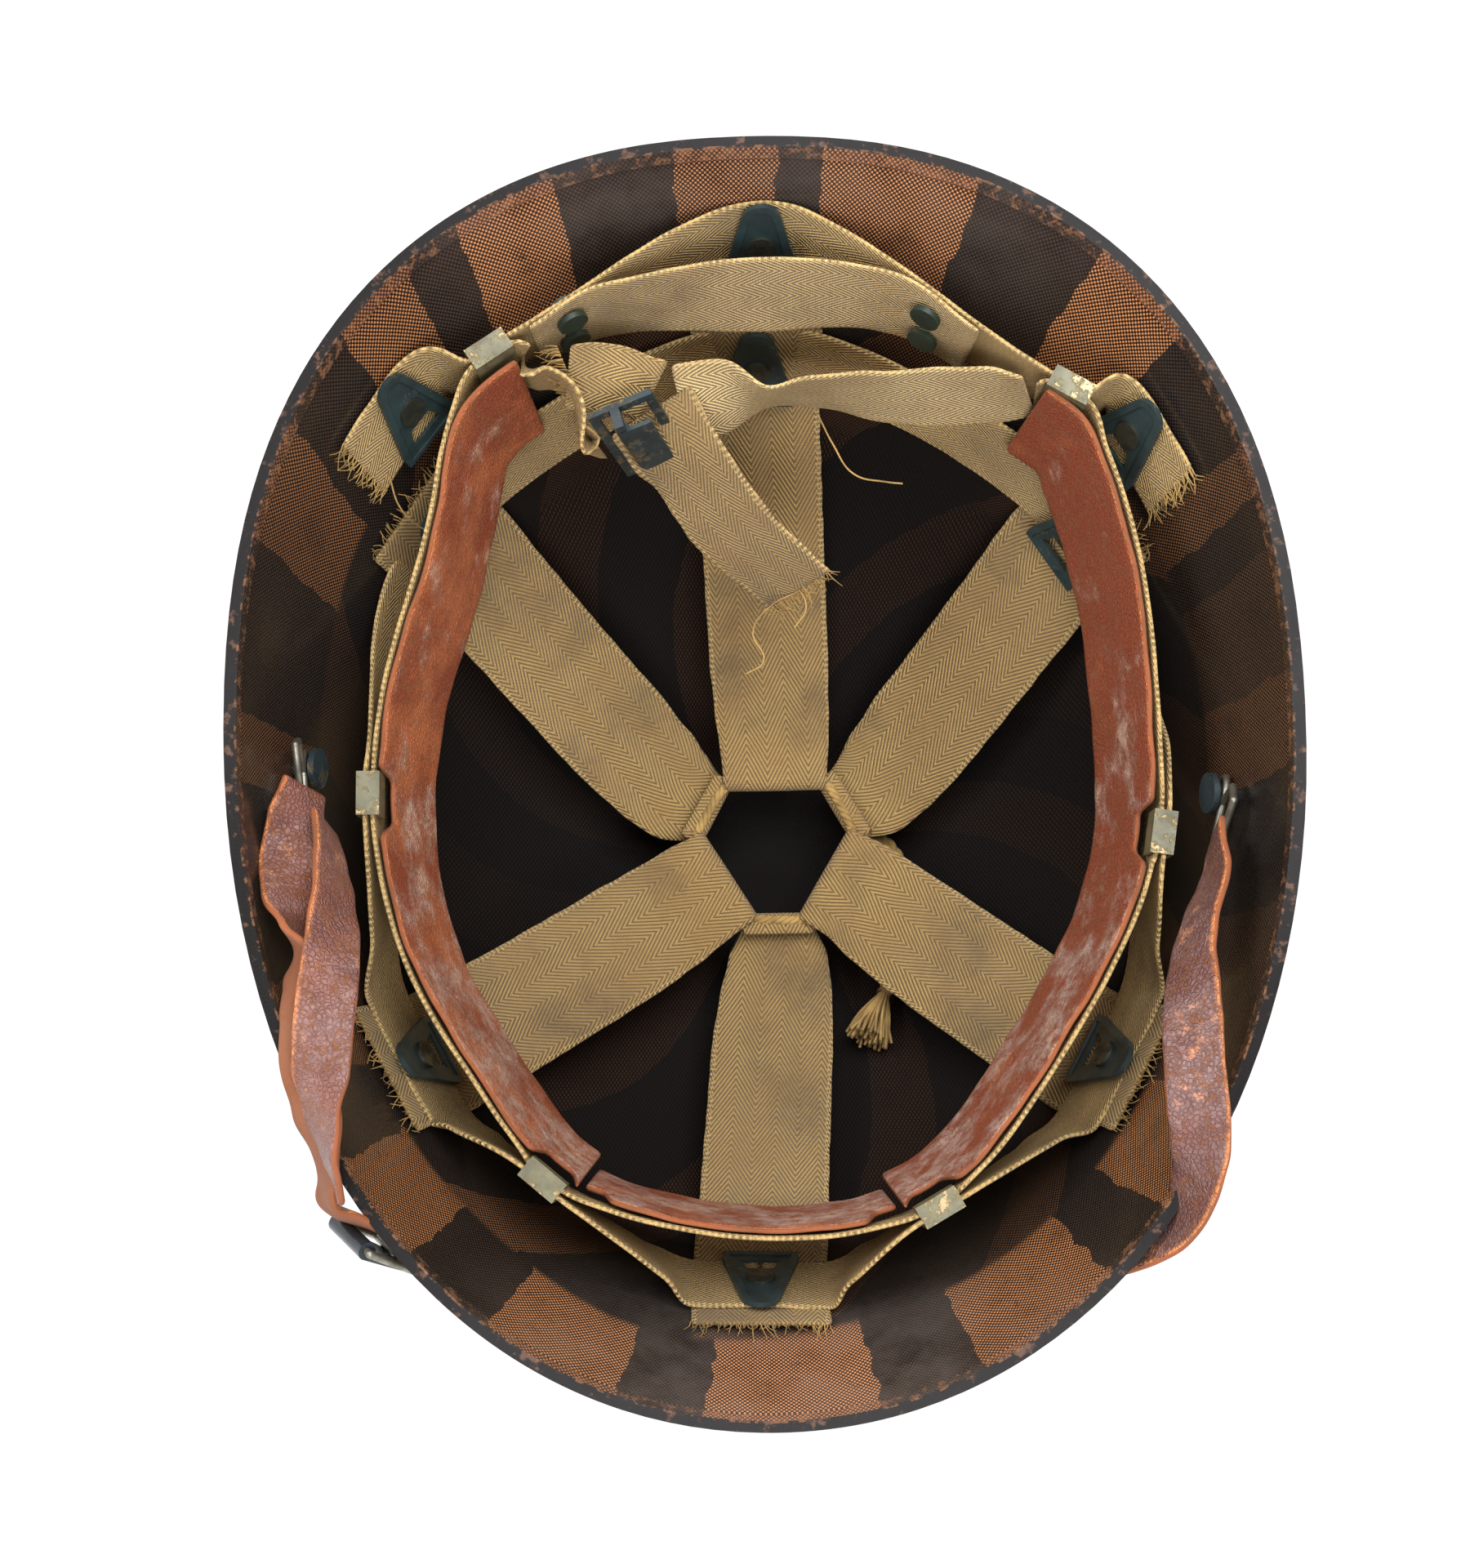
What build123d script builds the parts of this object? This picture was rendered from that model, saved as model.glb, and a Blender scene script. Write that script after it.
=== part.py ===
"""Helmet liner of laminated cotton duck, lying on its crown with its webbing suspension upwards.

Millimetres. The origin is the middle of the small flat on the crown that the liner rests on.
+Z points out of the opening, +Y to the nape and -Y to the visor.
"""

import math
import os

from build123d import *

# Dome: an oval bowl whose equator lies above the crown
DOME_HALF_WIDTH = 106.5
DOME_HALF_LENGTH = 121.0
DOME_EQUATOR_HEIGHT = 150.0
DOME_FULLNESS = 2.1
WALL_THICKNESS = 2.2
REST_FLAT_DEPTH = 0.7

# Flare of the wall, from its first height up to the rim
FLARE_START_HEIGHT = 90.0
RIM_HEIGHT = 165.0
FLARE_AT_SIDE = 8.0
FLARE_AT_VISOR = 23.7
FLARE_AT_NAPE = 25.7
FLARE_CURVE = 1.4
WIDEST_POINT_SHIFT = 12.5
DOME_OVAL = 2.0
VISOR_OVAL = 2.06
NAPE_OVAL = 2.33

# Rim: how far its edge falls below the ears at the visor and at the nape
RIM_HALF_WIDTH = DOME_HALF_WIDTH + FLARE_AT_SIDE
VISOR_REACH = 137.5
NAPE_REACH = 143.8
VISOR_DROP = 17.0
NAPE_DROP = 6.0
TRIM_MARGIN = 30.0
SHELL_TOP_MARGIN = 5.0
BINDING_DEPTH = 3.0
BINDING_THICKNESS = 0.5
RING_HEIGHT_SHARES = (0.0, 0.02, 0.06, 0.13, 0.22, 0.33, 0.45, 0.57, 0.69, 0.81, 0.92)
RING_POINT_COUNT = 32

# Webbing
WEBBING_THICKNESS = 1.2
CROWN_WEBBING_WIDTH = 32.0
BAND_WEBBING_WIDTH = 22.0
LAYER_GAP = 0.15
WALL_STANDOFF = 1.8
FLAT_AT_STRAP = 34.0
FLAT_AT_NAPE_RIVET = 18.4

# Washers shaped like a letter A, and the rivets that hold them
WASHER_BASE_WIDTH = 18.0
WASHER_BASE_BAR = 3.0
WASHER_BELOW_RIVET = 12.0
WASHER_ABOVE_RIVET = 13.0
WASHER_APEX_RADIUS = 4.6
WASHER_THICKNESS = 0.8
WASHER_BORDER_WIDTH = 1.7
WASHER_BORDER_HEIGHT = 0.5
WINDOW_WIDTH = 9.6
WINDOW_HEIGHT = 4.2
WINDOW_SIDE_ANGLE = 68.0
WINDOW_BELOW_RIVET = 6.6
RIVET_SHANK_RADIUS = 2.0
RIVET_CLEARANCE = 0.1
RIVET_INNER_HEAD_RADIUS = 3.4
RIVET_INNER_HEAD_HEIGHT = 0.7
RIVET_OUTER_HEAD_RADIUS = 5.0
RIVET_OUTER_HEAD_HEIGHT = 1.0
RIVET_SEAT_GAP = 0.2

# Six suspension rivets at one height, by their direction in degrees
SUSPENSION_HEIGHT = 98.0
SUSPENSION_ANGLES = {"front": -91.5, "right_front": -36.5, "right_rear": 40.0,
                     "rear": 89.5, "left_rear": 138.0, "left_front": 214.5}

# Three nape rivets nearer the rim
NAPE_RIVET_HEIGHT = 134.0
NAPE_ANGLES = {"left": 133.5, "rear": 89.0, "right": 41.0}
NAPE_END_LENGTH = 15.0
NAPE_END_LIFT = 2.6

# Order in which the suspension band passes clips and washers, from the front washer
SUSPENSION_ORDER = (("clip", "right_front"), ("washer", "right_front"), ("clip", "right_mid"),
                    ("way", "right_rear"), ("washer", "right_rear"), ("washer", "rear"), ("washer", "left_rear"),
                    ("clip", "left_mid"), ("washer", "left_front"), ("clip", "left_front"))
BAND_END_GAP = 0.5
BAND_WAY_HEADBAND_SHARE = 0.835
BAND_WAY_OUTWARD = 3.4
BAND_WAY_BELOW = 27.5

# Crown straps: six that meet round a laced hole above the crown
CROWN_CENTRE_X = 4.5
CROWN_CENTRE_Y = 0.5
CROWN_HEIGHT = 28.0
HOLE_RADIUS = 14.5
LOWER_FOLD_RADIUS = 18.4
STRAP_END_ABOVE_RIVET = 17.0
STRAP_FLAT_BELOW_RIVET = 14.0
STRAP_SAG_CURVE = 1.6
STRAP_PATH_SHARES = (0.12, 0.3, 0.5, 0.7, 0.87)
UPPER_STRAPS = {"rear": 90.0, "left_front": 212.0, "right_front": 328.0}
LOWER_STRAPS = {"left_rear": 151.0, "front": 270.0, "right_rear": 29.0}
UPPER_TUNNEL_WIDTH = 24.0
LOWER_TUNNEL_WIDTH = 9.0
GATHER_LENGTH = 15.0
FOLD_LEG_LENGTH = 9.0
FOLD_SEAM_SHARE = 0.66

# Lacing cord of the crown, its knot, tail and tassel
CORD_DIAMETER = 2.8
CORD_PLAY = 0.5
CORD_CORNER_RADIUS = 3.0
KNOT_DIAMETER = 4.8
TAIL_DIAMETER = 3.6
TAIL_ROUTE = ((27.2, 3.6, 25.2), (29.6, 4.6, 17.0), (36.5, 1.0, 13.6), (40.5, -9.0, 15.6),
              (39.5, -20.0, 18.6), (36.5, -30.5, 21.4), (32.5, -40.0, 24.2))
TASSEL_LENGTH = 15.0
TASSEL_END_RADIUS = 6.0
TASSEL_GAP = 0.4
ARC_SHARE = 0.45

# Free places inside the opening are shares of rim half width, visor reach and rim height
HEADBAND_SHARES = (
    (-0.465, 0.748, 0.872), (-0.545, 0.712, 0.874), (-0.615, 0.600, 0.855), (-0.650, 0.470, 0.832),
    (-0.735, 0.244, 0.800), (-0.775, 0.020, 0.776), (-0.701, -0.280, 0.770),
    (-0.551, -0.490, 0.770), (-0.441, -0.610, 0.764), (-0.261, -0.681, 0.764),
    (0.000, -0.716, 0.764), (0.211, -0.701, 0.764), (0.321, -0.666, 0.764),
    (0.541, -0.470, 0.770), (0.721, -0.220, 0.773), (0.780, -0.070, 0.776),
    (0.787, 0.088, 0.788), (0.750, 0.390, 0.832), (0.690, 0.555, 0.860), (0.640, 0.632, 0.872),
    (0.560, 0.662, 0.872))
HEADBAND_CLIPS = {"left_rear": 0, "left_mid": 5, "left_front": 8,
                  "right_front": 12, "right_mid": 15, "right_rear": 20}
CLIP_FROM_BAND_END = 6.8
HEADBAND_STATIONS = 49
LEATHER_STATIONS = 21
LEATHER_SLOPE_SHARE = 0.33
LEATHER_WIDTH = 38.0
LEATHER_THICKNESS = 1.5
LEATHER_GAP = 0.3
LEATHER_SEAM_FROM_CLIP = 7.5
LEATHER_SEAM_GAP = 1.0
LEATHER_END_SHARE = 0.045
LEATHER_NOTCH_MARGIN = 1.0
LEATHER_NOTCH_DEPTH = 10.0

# Clips: an inverted U of sprung sheet over headband and band
CLIP_WIDTH = 10.0
CLIP_SHEET = 0.8
CLIP_CLEARANCE = 0.4
CLIP_INNER_LEG = 8.0
CLIP_OUTER_LEG = 13.0
CLIP_BAND_GAP = 0.5
CLIP_BAND_HALF_FLAT = 5.4

# Webbing ends of the headband at the back, and their friction buckle
REAR_WEB_LEFT_SHARES = ((-0.466, 0.732, 0.796), (-0.386, 0.702, 0.770))
REAR_WEB_RIGHT_SHARES = ((0.480, 0.672, 0.790), (0.297, 0.697, 0.758),
                         (0.127, 0.710, 0.739), (-0.055, 0.690, 0.727))
BUCKLE_SHARES = (-0.239, 0.640, 0.727)
BUCKLE_BAR_SHARES = (0.27, -0.21, -0.94)
BUCKLE_RUN_SHARES = (0.97, 0.24, -0.07)
BUCKLE_LENGTH = 16.0
BUCKLE_FRAME_BAR = 2.2
BUCKLE_FRAME_THICKNESS = 1.6
BUCKLE_SIDE_MARGIN = 3.6
BUCKLE_FOLD_RADIUS = 2.1
BUCKLE_FOLD_LEG = 5.0
BUCKLE_LUG_RISE = 6.0
JAW_LENGTH = 7.0
JAW_AXIS_FROM_BAR = 5.4
JAW_THICKNESS = 1.0
JAW_SIDE_GAP = 0.5
JAW_TOOTH_PITCH = 3.6
JAW_TOOTH_RADIUS = 0.8
JAW_TOOTH_LENGTH = 1.8
JAW_BARREL_RADIUS = 1.7
JAW_AXIS_RISE = 4.4
JAW_PIN_RADIUS = 0.9
JAW_PIN_CLEARANCE = 0.1
TAIL_WEB_SHARES = ((-0.030, 0.575, 0.668), (0.046, 0.496, 0.594), (0.112, 0.412, 0.521))
TAIL_FLAT_LENGTH = 8.0
REAR_WEB_START_GAP = 1.0

# Nape strap with its press studs
NAPE_STRAP_WIDTH = 24.0
NAPE_STRAP_MIDDLE_SHARES = (0.01, 0.845, 0.812)
NAPE_STRAP_END_SHARES = {"left": (0.10, 0.42), "right": (0.29, 0.62)}
NAPE_STRAP_GAP = 0.5
STUD_POSITION_SHARES = {"left": 0.27, "right": 0.47}
STUD_SPACING = 10.0
STUD_RADIUS = 3.6
STUD_SHANK_RADIUS = 1.2
STUD_CAP_HEIGHT = 1.3
STUD_SEAT = 0.2

# Chinstrap
CHIN_STRAP_WIDTH = 13.0
CHIN_STRAP_THICKNESS = 1.7
CHIN_STUD_HEIGHT = 127.0
CHIN_STUD_ANGLES = {"left": 177.8, "right": -3.2}
CHIN_STUD_RADIUS = 4.6
CHIN_STUD_NECK_RADIUS = 2.3
CHIN_STUD_NECK_START = 0.3
CHIN_STUD_NECK_END = 4.6
CHIN_STUD_CAP_HEIGHT = 1.4
LOOP_WIRE_DIAMETER = 1.7
LOOP_EYE_RADIUS = 3.7
LOOP_BAR_WIDTH = 15.5
LOOP_LENGTH = 13.0
LOOP_STRAIGHT = 5.0
LOOP_LEVEL = 2.3
LOOP_TILT = 15.0
LOOP_TURNS = {"left": 109.0, "right": 45.0}
CHIN_FOLD_RADIUS = 1.3
CHIN_FOLD_LEG = 6.0
CHIN_LAYER_GAP = 1.2
CHIN_VISOR_DROP = 21.0
CHIN_VISOR_STANDOFF = 0.8
CHIN_VISOR_ANGLES = (300.0, 292.0, 284.0, 276.0, 268.0, 260.0, 252.0, 244.0, 236.0)
# Each station: three shares of place, then the tilt in degrees of the strap's width
# from level and the direction in degrees that its width points to when it is level
CHIN_LEFT_SHARES = (
    (-0.890, -0.055, 0.893, 20.0, 130.0), (-0.890, -0.110, 0.918, 10.0, 170.0),
    (-0.888, -0.175, 0.945, 40.0, 180.0), (-0.880, -0.240, 0.968, 75.0, 180.0),
    (-0.876, -0.300, 1.006, 140.0, 190.0), (-0.886, -0.370, 1.018, 165.0, 196.0),
    (-0.885, -0.435, 1.010, 172.0, 202.0), (-0.872, -0.500, 1.008, 165.0, 210.0),
    (-0.862, -0.570, 0.992, 140.0, 216.0), (-0.842, -0.640, 0.955, 105.0, 224.0))
CHIN_RETURN_SHARES = (
    (-0.815, -0.070, 0.875, 85.0, 180.0), (-0.808, -0.125, 0.910, 78.0, 180.0),
    (-0.802, -0.185, 0.945, 68.0, 184.0), (-0.790, -0.250, 0.984, 50.0, 190.0),
    (-0.768, -0.320, 1.036, 28.0, 196.0), (-0.800, -0.390, 1.062, 4.0, 202.0))
CHIN_RETURN_OVER_LEFT = (7, 8)
CHIN_RIGHT_SHARES = (
    (0.850, -0.160, 0.885, 75.0, 0.0), (0.820, -0.220, 0.910, 70.0, 0.0),
    (0.802, -0.280, 0.936, 60.0, -6.0), (0.795, -0.340, 0.962, 45.0, -12.0),
    (0.795, -0.400, 0.987, 25.0, -18.0), (0.795, -0.460, 1.008, 8.0, -24.0),
    (0.798, -0.520, 1.016, 4.0, -30.0), (0.798, -0.580, 1.010, 15.0, -38.0),
    (0.795, -0.645, 1.000, 45.0, -44.0), (0.755, -0.720, 0.950, 70.0, -50.0))

# Buckle of the chinstrap, on the outside of the visor
CHIN_BUCKLE_WIRE = 1.8
CHIN_BUCKLE_LENGTH = 12.0
CHIN_BUCKLE_WIDTH = 17.0
CHIN_BUCKLE_LIFT = 2.4
LEVER_LENGTH = 14.5
LEVER_TIP_WIDTH = 8.0
LEVER_THICKNESS = 1.2
LEVER_BARREL_RADIUS = 2.0
LEVER_BARREL_CLEARANCE = 0.1
LEVER_HOLE_RADIUS = 1.1
LEVER_HOLE_FROM_TIP = 4.0
LEVER_SIDE_GAP = 1.3

PROBE = 0.5


def shell_section(height, inset):
    """Half width, visor and nape half lengths, centre and ovals of the wall at one height."""
    equator = DOME_EQUATOR_HEIGHT
    pole = inset - REST_FLAT_DEPTH
    fall = min(max((equator - height) / (equator - pole), 0.0), 1.0)
    dome_share = (1.0 - fall ** DOME_FULLNESS) ** (1.0 / DOME_FULLNESS)
    rise = max((height - FLARE_START_HEIGHT) / (RIM_HEIGHT - FLARE_START_HEIGHT), 0.0)
    flare_share = rise ** FLARE_CURVE
    half_width = (DOME_HALF_WIDTH - inset) * dome_share + FLARE_AT_SIDE * flare_share
    centre = WIDEST_POINT_SHIFT * flare_share
    visor = (DOME_HALF_LENGTH - inset) * dome_share + FLARE_AT_VISOR * flare_share + centre
    nape = (DOME_HALF_LENGTH - inset) * dome_share + FLARE_AT_NAPE * flare_share - centre
    visor_oval = DOME_OVAL + (VISOR_OVAL - DOME_OVAL) * flare_share
    nape_oval = DOME_OVAL + (NAPE_OVAL - DOME_OVAL) * flare_share
    return half_width, visor, nape, centre, visor_oval, nape_oval


def ring_point(angle, height, inset):
    """Point of the wall in a direction in degrees, at a height, inset from the outer face."""
    half_width, visor, nape, centre, visor_oval, nape_oval = shell_section(height, inset)
    across = math.cos(math.radians(angle))
    ahead = math.sin(math.radians(angle))
    half_length, oval = (nape, nape_oval) if ahead >= 0.0 else (visor, visor_oval)
    reach = ((abs(across) / half_width) ** oval + (abs(ahead) / half_length) ** oval) ** (-1.0 / oval)
    return Vector(reach * across, centre + reach * ahead, height)


def wall_plane(angle, height, inset, offset):
    """Plane on the wall, offset into the bowl, with +X clockwise and +Y towards the rim."""
    turn = math.degrees(PROBE / DOME_HALF_WIDTH)
    origin = ring_point(angle, height, inset)
    around = ring_point(angle + turn, height, inset) - ring_point(angle - turn, height, inset)
    upward = ring_point(angle, height + PROBE, inset) - ring_point(angle, height - PROBE, inset)
    inward = upward.cross(around).normalized()
    return Plane(origin + inward * offset, x_dir=-around, z_dir=inward)


def place(shares):
    """Point from its shares of rim half width, visor reach and rim height."""
    x_share, y_share, z_share = shares
    return Vector(x_share * RIM_HALF_WIDTH, y_share * VISOR_REACH, z_share * RIM_HEIGHT)


def rim_edge_profile(drop):
    """Side view of the rim, from visor to nape, lowered by a drop."""
    top = RIM_HEIGHT - drop
    middle_share = 0.5
    visor_mid = WIDEST_POINT_SHIFT - (WIDEST_POINT_SHIFT + VISOR_REACH) * middle_share
    nape_mid = WIDEST_POINT_SHIFT + (NAPE_REACH - WIDEST_POINT_SHIFT) * middle_share
    visor_arc = ThreePointArc((-VISOR_REACH, top - VISOR_DROP),
                              (visor_mid, top - VISOR_DROP * middle_share ** 2),
                              (WIDEST_POINT_SHIFT, top))
    nape_arc = ThreePointArc((WIDEST_POINT_SHIFT, top),
                             (nape_mid, top - NAPE_DROP * middle_share ** 2),
                             (NAPE_REACH, top - NAPE_DROP))
    return visor_arc, nape_arc


def above_rim(drop):
    """Block of everything above the rim edge lowered by a drop."""
    top = RIM_HEIGHT + TRIM_MARGIN
    front = -VISOR_REACH - TRIM_MARGIN
    back = NAPE_REACH + TRIM_MARGIN
    with BuildPart() as block:
        with BuildSketch(Plane.YZ):
            with BuildLine():
                visor_arc, nape_arc = rim_edge_profile(drop)
                Polyline(nape_arc @ 1, (back, (nape_arc @ 1).Y), (back, top), (front, top),
                         (front, (visor_arc @ 0).Y), visor_arc @ 0)
            make_face()
        extrude(amount=RIM_HALF_WIDTH + TRIM_MARGIN, both=True)
    return block.part


def bowl(inset):
    """Solid bowl whose outside is the wall at an inset."""
    floor = max(inset, 0.0)
    heights = [floor + (RIM_HEIGHT + SHELL_TOP_MARGIN - floor) * share for share in RING_HEIGHT_SHARES]
    heights.append(RIM_HEIGHT + SHELL_TOP_MARGIN)
    with BuildPart() as solid:
        for height in heights:
            with BuildSketch(Plane.XY.offset(height)):
                with BuildLine():
                    points = [ring_point(360.0 * index / RING_POINT_COUNT, height, inset)
                              for index in range(RING_POINT_COUNT)]
                    Spline(*[(point.X, point.Y) for point in points], periodic=True)
                make_face()
        loft()
    return solid.part


def save(part, name):
    """Label one piece and write it to its own file."""
    part.label = name
    export_step(part, f"parts/{name}.step")


def ribbon(stations, thickness, keep_across=True):
    """Flat strip through stations, each a middle, the direction of its width and the width.

    Where the two disagree, either the width's direction is kept or the strip's own direction.
    """
    last = len(stations) - 1
    with BuildPart() as strip:
        for index, (middle, across, width) in enumerate(stations):
            before = stations[max(index - 1, 0)][0]
            after = stations[min(index + 1, last)][0]
            arriving = (middle - before).normalized() if index > 0 else (after - middle).normalized()
            leaving = (after - middle).normalized() if index < last else arriving
            along = (arriving + leaving).normalized()
            if keep_across:
                across = across.normalized()
                along = (along - across * across.dot(along)).normalized()
                flat = (leaving - across * across.dot(leaving)).normalized()
            else:
                across = (across - along * across.dot(along)).normalized()
                flat = leaving
            with BuildSketch(Plane(middle, x_dir=across, z_dir=along)):
                Rectangle(width, thickness / along.dot(flat))
        loft(ruled=True)
    return strip.part


def pin(plane, radius, start, end):
    """Cylinder along a plane's normal between two offsets."""
    with BuildPart() as cylinder:
        with BuildSketch(plane.offset(start)):
            Circle(radius)
        extrude(amount=end - start)
    return cylinder.part


def drilled(part, planes, radius, reach):
    """Part with a hole through it along the normal of each plane."""
    with BuildPart() as result:
        add(part)
        for plane in planes:
            add(pin(plane, radius, -reach, reach), mode=Mode.SUBTRACT)
    return result.part


def washer_outline(border):
    """Sketch hull of the washer's base bar and rounded apex, drawn in by a border."""
    with Locations((0.0, -WASHER_BELOW_RIVET + WASHER_BASE_BAR / 2)):
        Rectangle(WASHER_BASE_WIDTH - 2 * border, WASHER_BASE_BAR - 2 * min(border, WASHER_BASE_BAR / 3))
    with Locations((0.0, WASHER_ABOVE_RIVET - WASHER_APEX_RADIUS)):
        Circle(WASHER_APEX_RADIUS - border)
    make_hull()


def a_washer(plane):
    """Stamped washer with a raised border, a window over the webbing and a rivet hole."""
    with BuildPart() as washer:
        with BuildSketch(plane):
            washer_outline(0.0)
        extrude(amount=WASHER_THICKNESS)
        with BuildSketch(plane.offset(WASHER_THICKNESS)):
            washer_outline(0.0)
        extrude(amount=WASHER_BORDER_HEIGHT)
        with BuildSketch(plane.offset(WASHER_THICKNESS)):
            washer_outline(WASHER_BORDER_WIDTH)
        extrude(amount=WASHER_BORDER_HEIGHT, mode=Mode.SUBTRACT)
        with BuildSketch(plane):
            with Locations((0.0, -WINDOW_BELOW_RIVET)):
                Trapezoid(WINDOW_WIDTH, WINDOW_HEIGHT, WINDOW_SIDE_ANGLE)
            Circle(RIVET_SHANK_RADIUS + RIVET_CLEARANCE)
        extrude(amount=WASHER_THICKNESS, mode=Mode.SUBTRACT)
    return washer.part


def wall_rivet(plane, stack):
    """Rivet from a head outside the shell, through the wall, to a head on top of a stack."""
    seat = -WALL_THICKNESS - RIVET_SEAT_GAP
    with BuildPart() as rivet:
        add(pin(plane, RIVET_OUTER_HEAD_RADIUS, seat - RIVET_OUTER_HEAD_HEIGHT, seat))
        add(pin(plane, RIVET_SHANK_RADIUS, seat, stack))
        add(pin(plane, RIVET_INNER_HEAD_RADIUS, stack, stack + RIVET_INNER_HEAD_HEIGHT))
    return rivet.part


def fold_loop(plane, width, inner_radius, thickness, leg, side, sewn=True):
    """Strap end folded round a bar along the plane's normal, sewn on one side of its +X leg."""
    outer_radius = inner_radius + thickness
    seam = leg * FOLD_SEAM_SHARE
    with BuildPart() as loop:
        with BuildSketch(plane):
            Circle(outer_radius)
            Circle(inner_radius, mode=Mode.SUBTRACT)
            with Locations((outer_radius, 0.0)):
                Rectangle(2 * outer_radius, 2 * outer_radius + thickness, mode=Mode.SUBTRACT)
            with Locations((leg / 2, side * (inner_radius + thickness / 2))):
                Rectangle(leg, thickness)
            if sewn:
                with BuildLine():
                    Polyline((0.0, -side * outer_radius), (seam, side * (inner_radius - thickness)),
                             (leg, side * (inner_radius - thickness)), (leg, side * inner_radius),
                             (seam, side * inner_radius), (0.0, -side * inner_radius), close=True)
                make_face()
        extrude(amount=width / 2, both=True)
    return loop.part


def fold_stations(plane, width, inner_radius, thickness, leg, side):
    """The two stations with which a strap runs into its folded end."""
    level = side * (inner_radius + thickness / 2)
    inside = plane.from_local_coords((leg - thickness, level, 0.0))
    outside = plane.from_local_coords((leg, level, 0.0))
    return [(inside, plane.z_dir, width), (outside, plane.z_dir, width)]


def joined(*parts):
    """One part out of several that meet."""
    with BuildPart() as result:
        for part in parts:
            add(part)
    return result.part


def wire_run(points, radius, closed):
    """Round wire along straight runs with ball corners."""
    ends = points[1:] + points[:1] if closed else points[1:]
    with BuildPart() as wire:
        for start, end in zip(points, ends):
            run = Plane(start, z_dir=end - start)
            add(pin(run, radius, 0.0, (end - start).length))
        for corner in points:
            with Locations(corner):
                Sphere(radius)
    return wire.part


def turned(plane, angle):
    """Plane turned by degrees about its own normal."""
    return Plane(plane.origin, x_dir=plane.x_dir.rotate(Axis(plane.origin, plane.z_dir), angle),
                 z_dir=plane.z_dir)


def crown_strap(name, angle, width_at_fold, fold_radius, side):
    """Strap from its riveted end down the wall and across to the laced hole of the crown."""
    wall = suspension_planes[name].offset(strap_level)
    outward = Vector(math.cos(math.radians(angle)), math.sin(math.radians(angle)), 0.0)
    bar = Vector(CROWN_CENTRE_X, CROWN_CENTRE_Y, CROWN_HEIGHT) + outward * fold_radius
    fold = Plane(bar, x_dir=outward, z_dir=Vector(outward.Y, -outward.X, 0.0))
    up_side = side if fold.y_dir.Z > 0.0 else -side
    inner = CORD_DIAMETER / 2 + CORD_PLAY
    flat_end = wall.from_local_coords((0.0, -STRAP_FLAT_BELOW_RIVET, 0.0))
    stations = [(wall.from_local_coords((0.0, STRAP_END_ABOVE_RIVET, 0.0)), wall.x_dir, CROWN_WEBBING_WIDTH),
                (flat_end, wall.x_dir, CROWN_WEBBING_WIDTH)]
    folded = fold_stations(fold, width_at_fold, inner, WEBBING_THICKNESS, FOLD_LEG_LENGTH, up_side)
    arrival = folded[1][0]
    for share in STRAP_PATH_SHARES:
        middle = flat_end + (arrival - flat_end) * share
        sag = (1.0 - share) ** STRAP_SAG_CURVE
        middle = Vector(middle.X, middle.Y, arrival.Z + (flat_end.Z - arrival.Z) * sag)
        across = wall.x_dir * (1.0 - share) + fold.z_dir * share
        left_over = (arrival - middle).length
        width = min(CROWN_WEBBING_WIDTH,
                    width_at_fold + (CROWN_WEBBING_WIDTH - width_at_fold) * left_over / GATHER_LENGTH)
        stations.append((middle, across, width))
    stations += [folded[1], folded[0]]
    strap = drilled(ribbon(stations, WEBBING_THICKNESS), [wall], hole_radius, drill_reach)
    loop = fold_loop(fold, width_at_fold, inner, WEBBING_THICKNESS, FOLD_LEG_LENGTH, up_side)
    return joined(strap, loop)


def headband_place(share, outward, below):
    """Point and level direction of the headband's path, moved outward and down."""
    point = headband_path @ share
    tangent = headband_path % share
    along = Vector(tangent.X, tangent.Y, 0.0).normalized()
    return point + Vector(along.Y, -along.X, 0.0) * outward - Vector(0.0, 0.0, below), along


def clip_stations(name, direction):
    """Two stations with which a band passes outside the headband at a clip."""
    layer = WEBBING_THICKNESS + CLIP_BAND_GAP
    middle, along = headband_place(clip_shares[name], layer, BAND_WEBBING_WIDTH / 2)
    reach = along * CLIP_BAND_HALF_FLAT * direction
    upright = Vector(0.0, 0.0, 1.0)
    return [(middle - reach, upright, BAND_WEBBING_WIDTH), (middle + reach, upright, BAND_WEBBING_WIDTH)]


def rivet_stations(plane, start, end):
    """Two stations with which a band lies flat on the wall at a rivet."""
    return [(plane.from_local_coords((start, 0.0, 0.0)), plane.y_dir, BAND_WEBBING_WIDTH),
            (plane.from_local_coords((end, 0.0, 0.0)), plane.y_dir, BAND_WEBBING_WIDTH)]


def leg_place(clip_end, run, share):
    """Point on a leg of the nape band with the band's width direction and inward normal there."""
    rear_rise = nape_planes["rear"].y_dir
    across = (Vector(0.0, 0.0, 1.0) * (1.0 - share) + rear_rise * share).normalized()
    inward = run.cross(across).normalized()
    return clip_end + run * share, across, inward if inward.Y < 0.0 else -inward


def chin_station(shares):
    """Station of the chinstrap from its five shares and degrees."""
    tilt = math.radians(shares[3])
    direction = math.radians(shares[4])
    across = Vector(math.cos(direction) * math.cos(tilt), math.sin(direction) * math.cos(tilt),
                    math.sin(tilt))
    return place(shares[:3]), across, CHIN_STRAP_WIDTH


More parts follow.
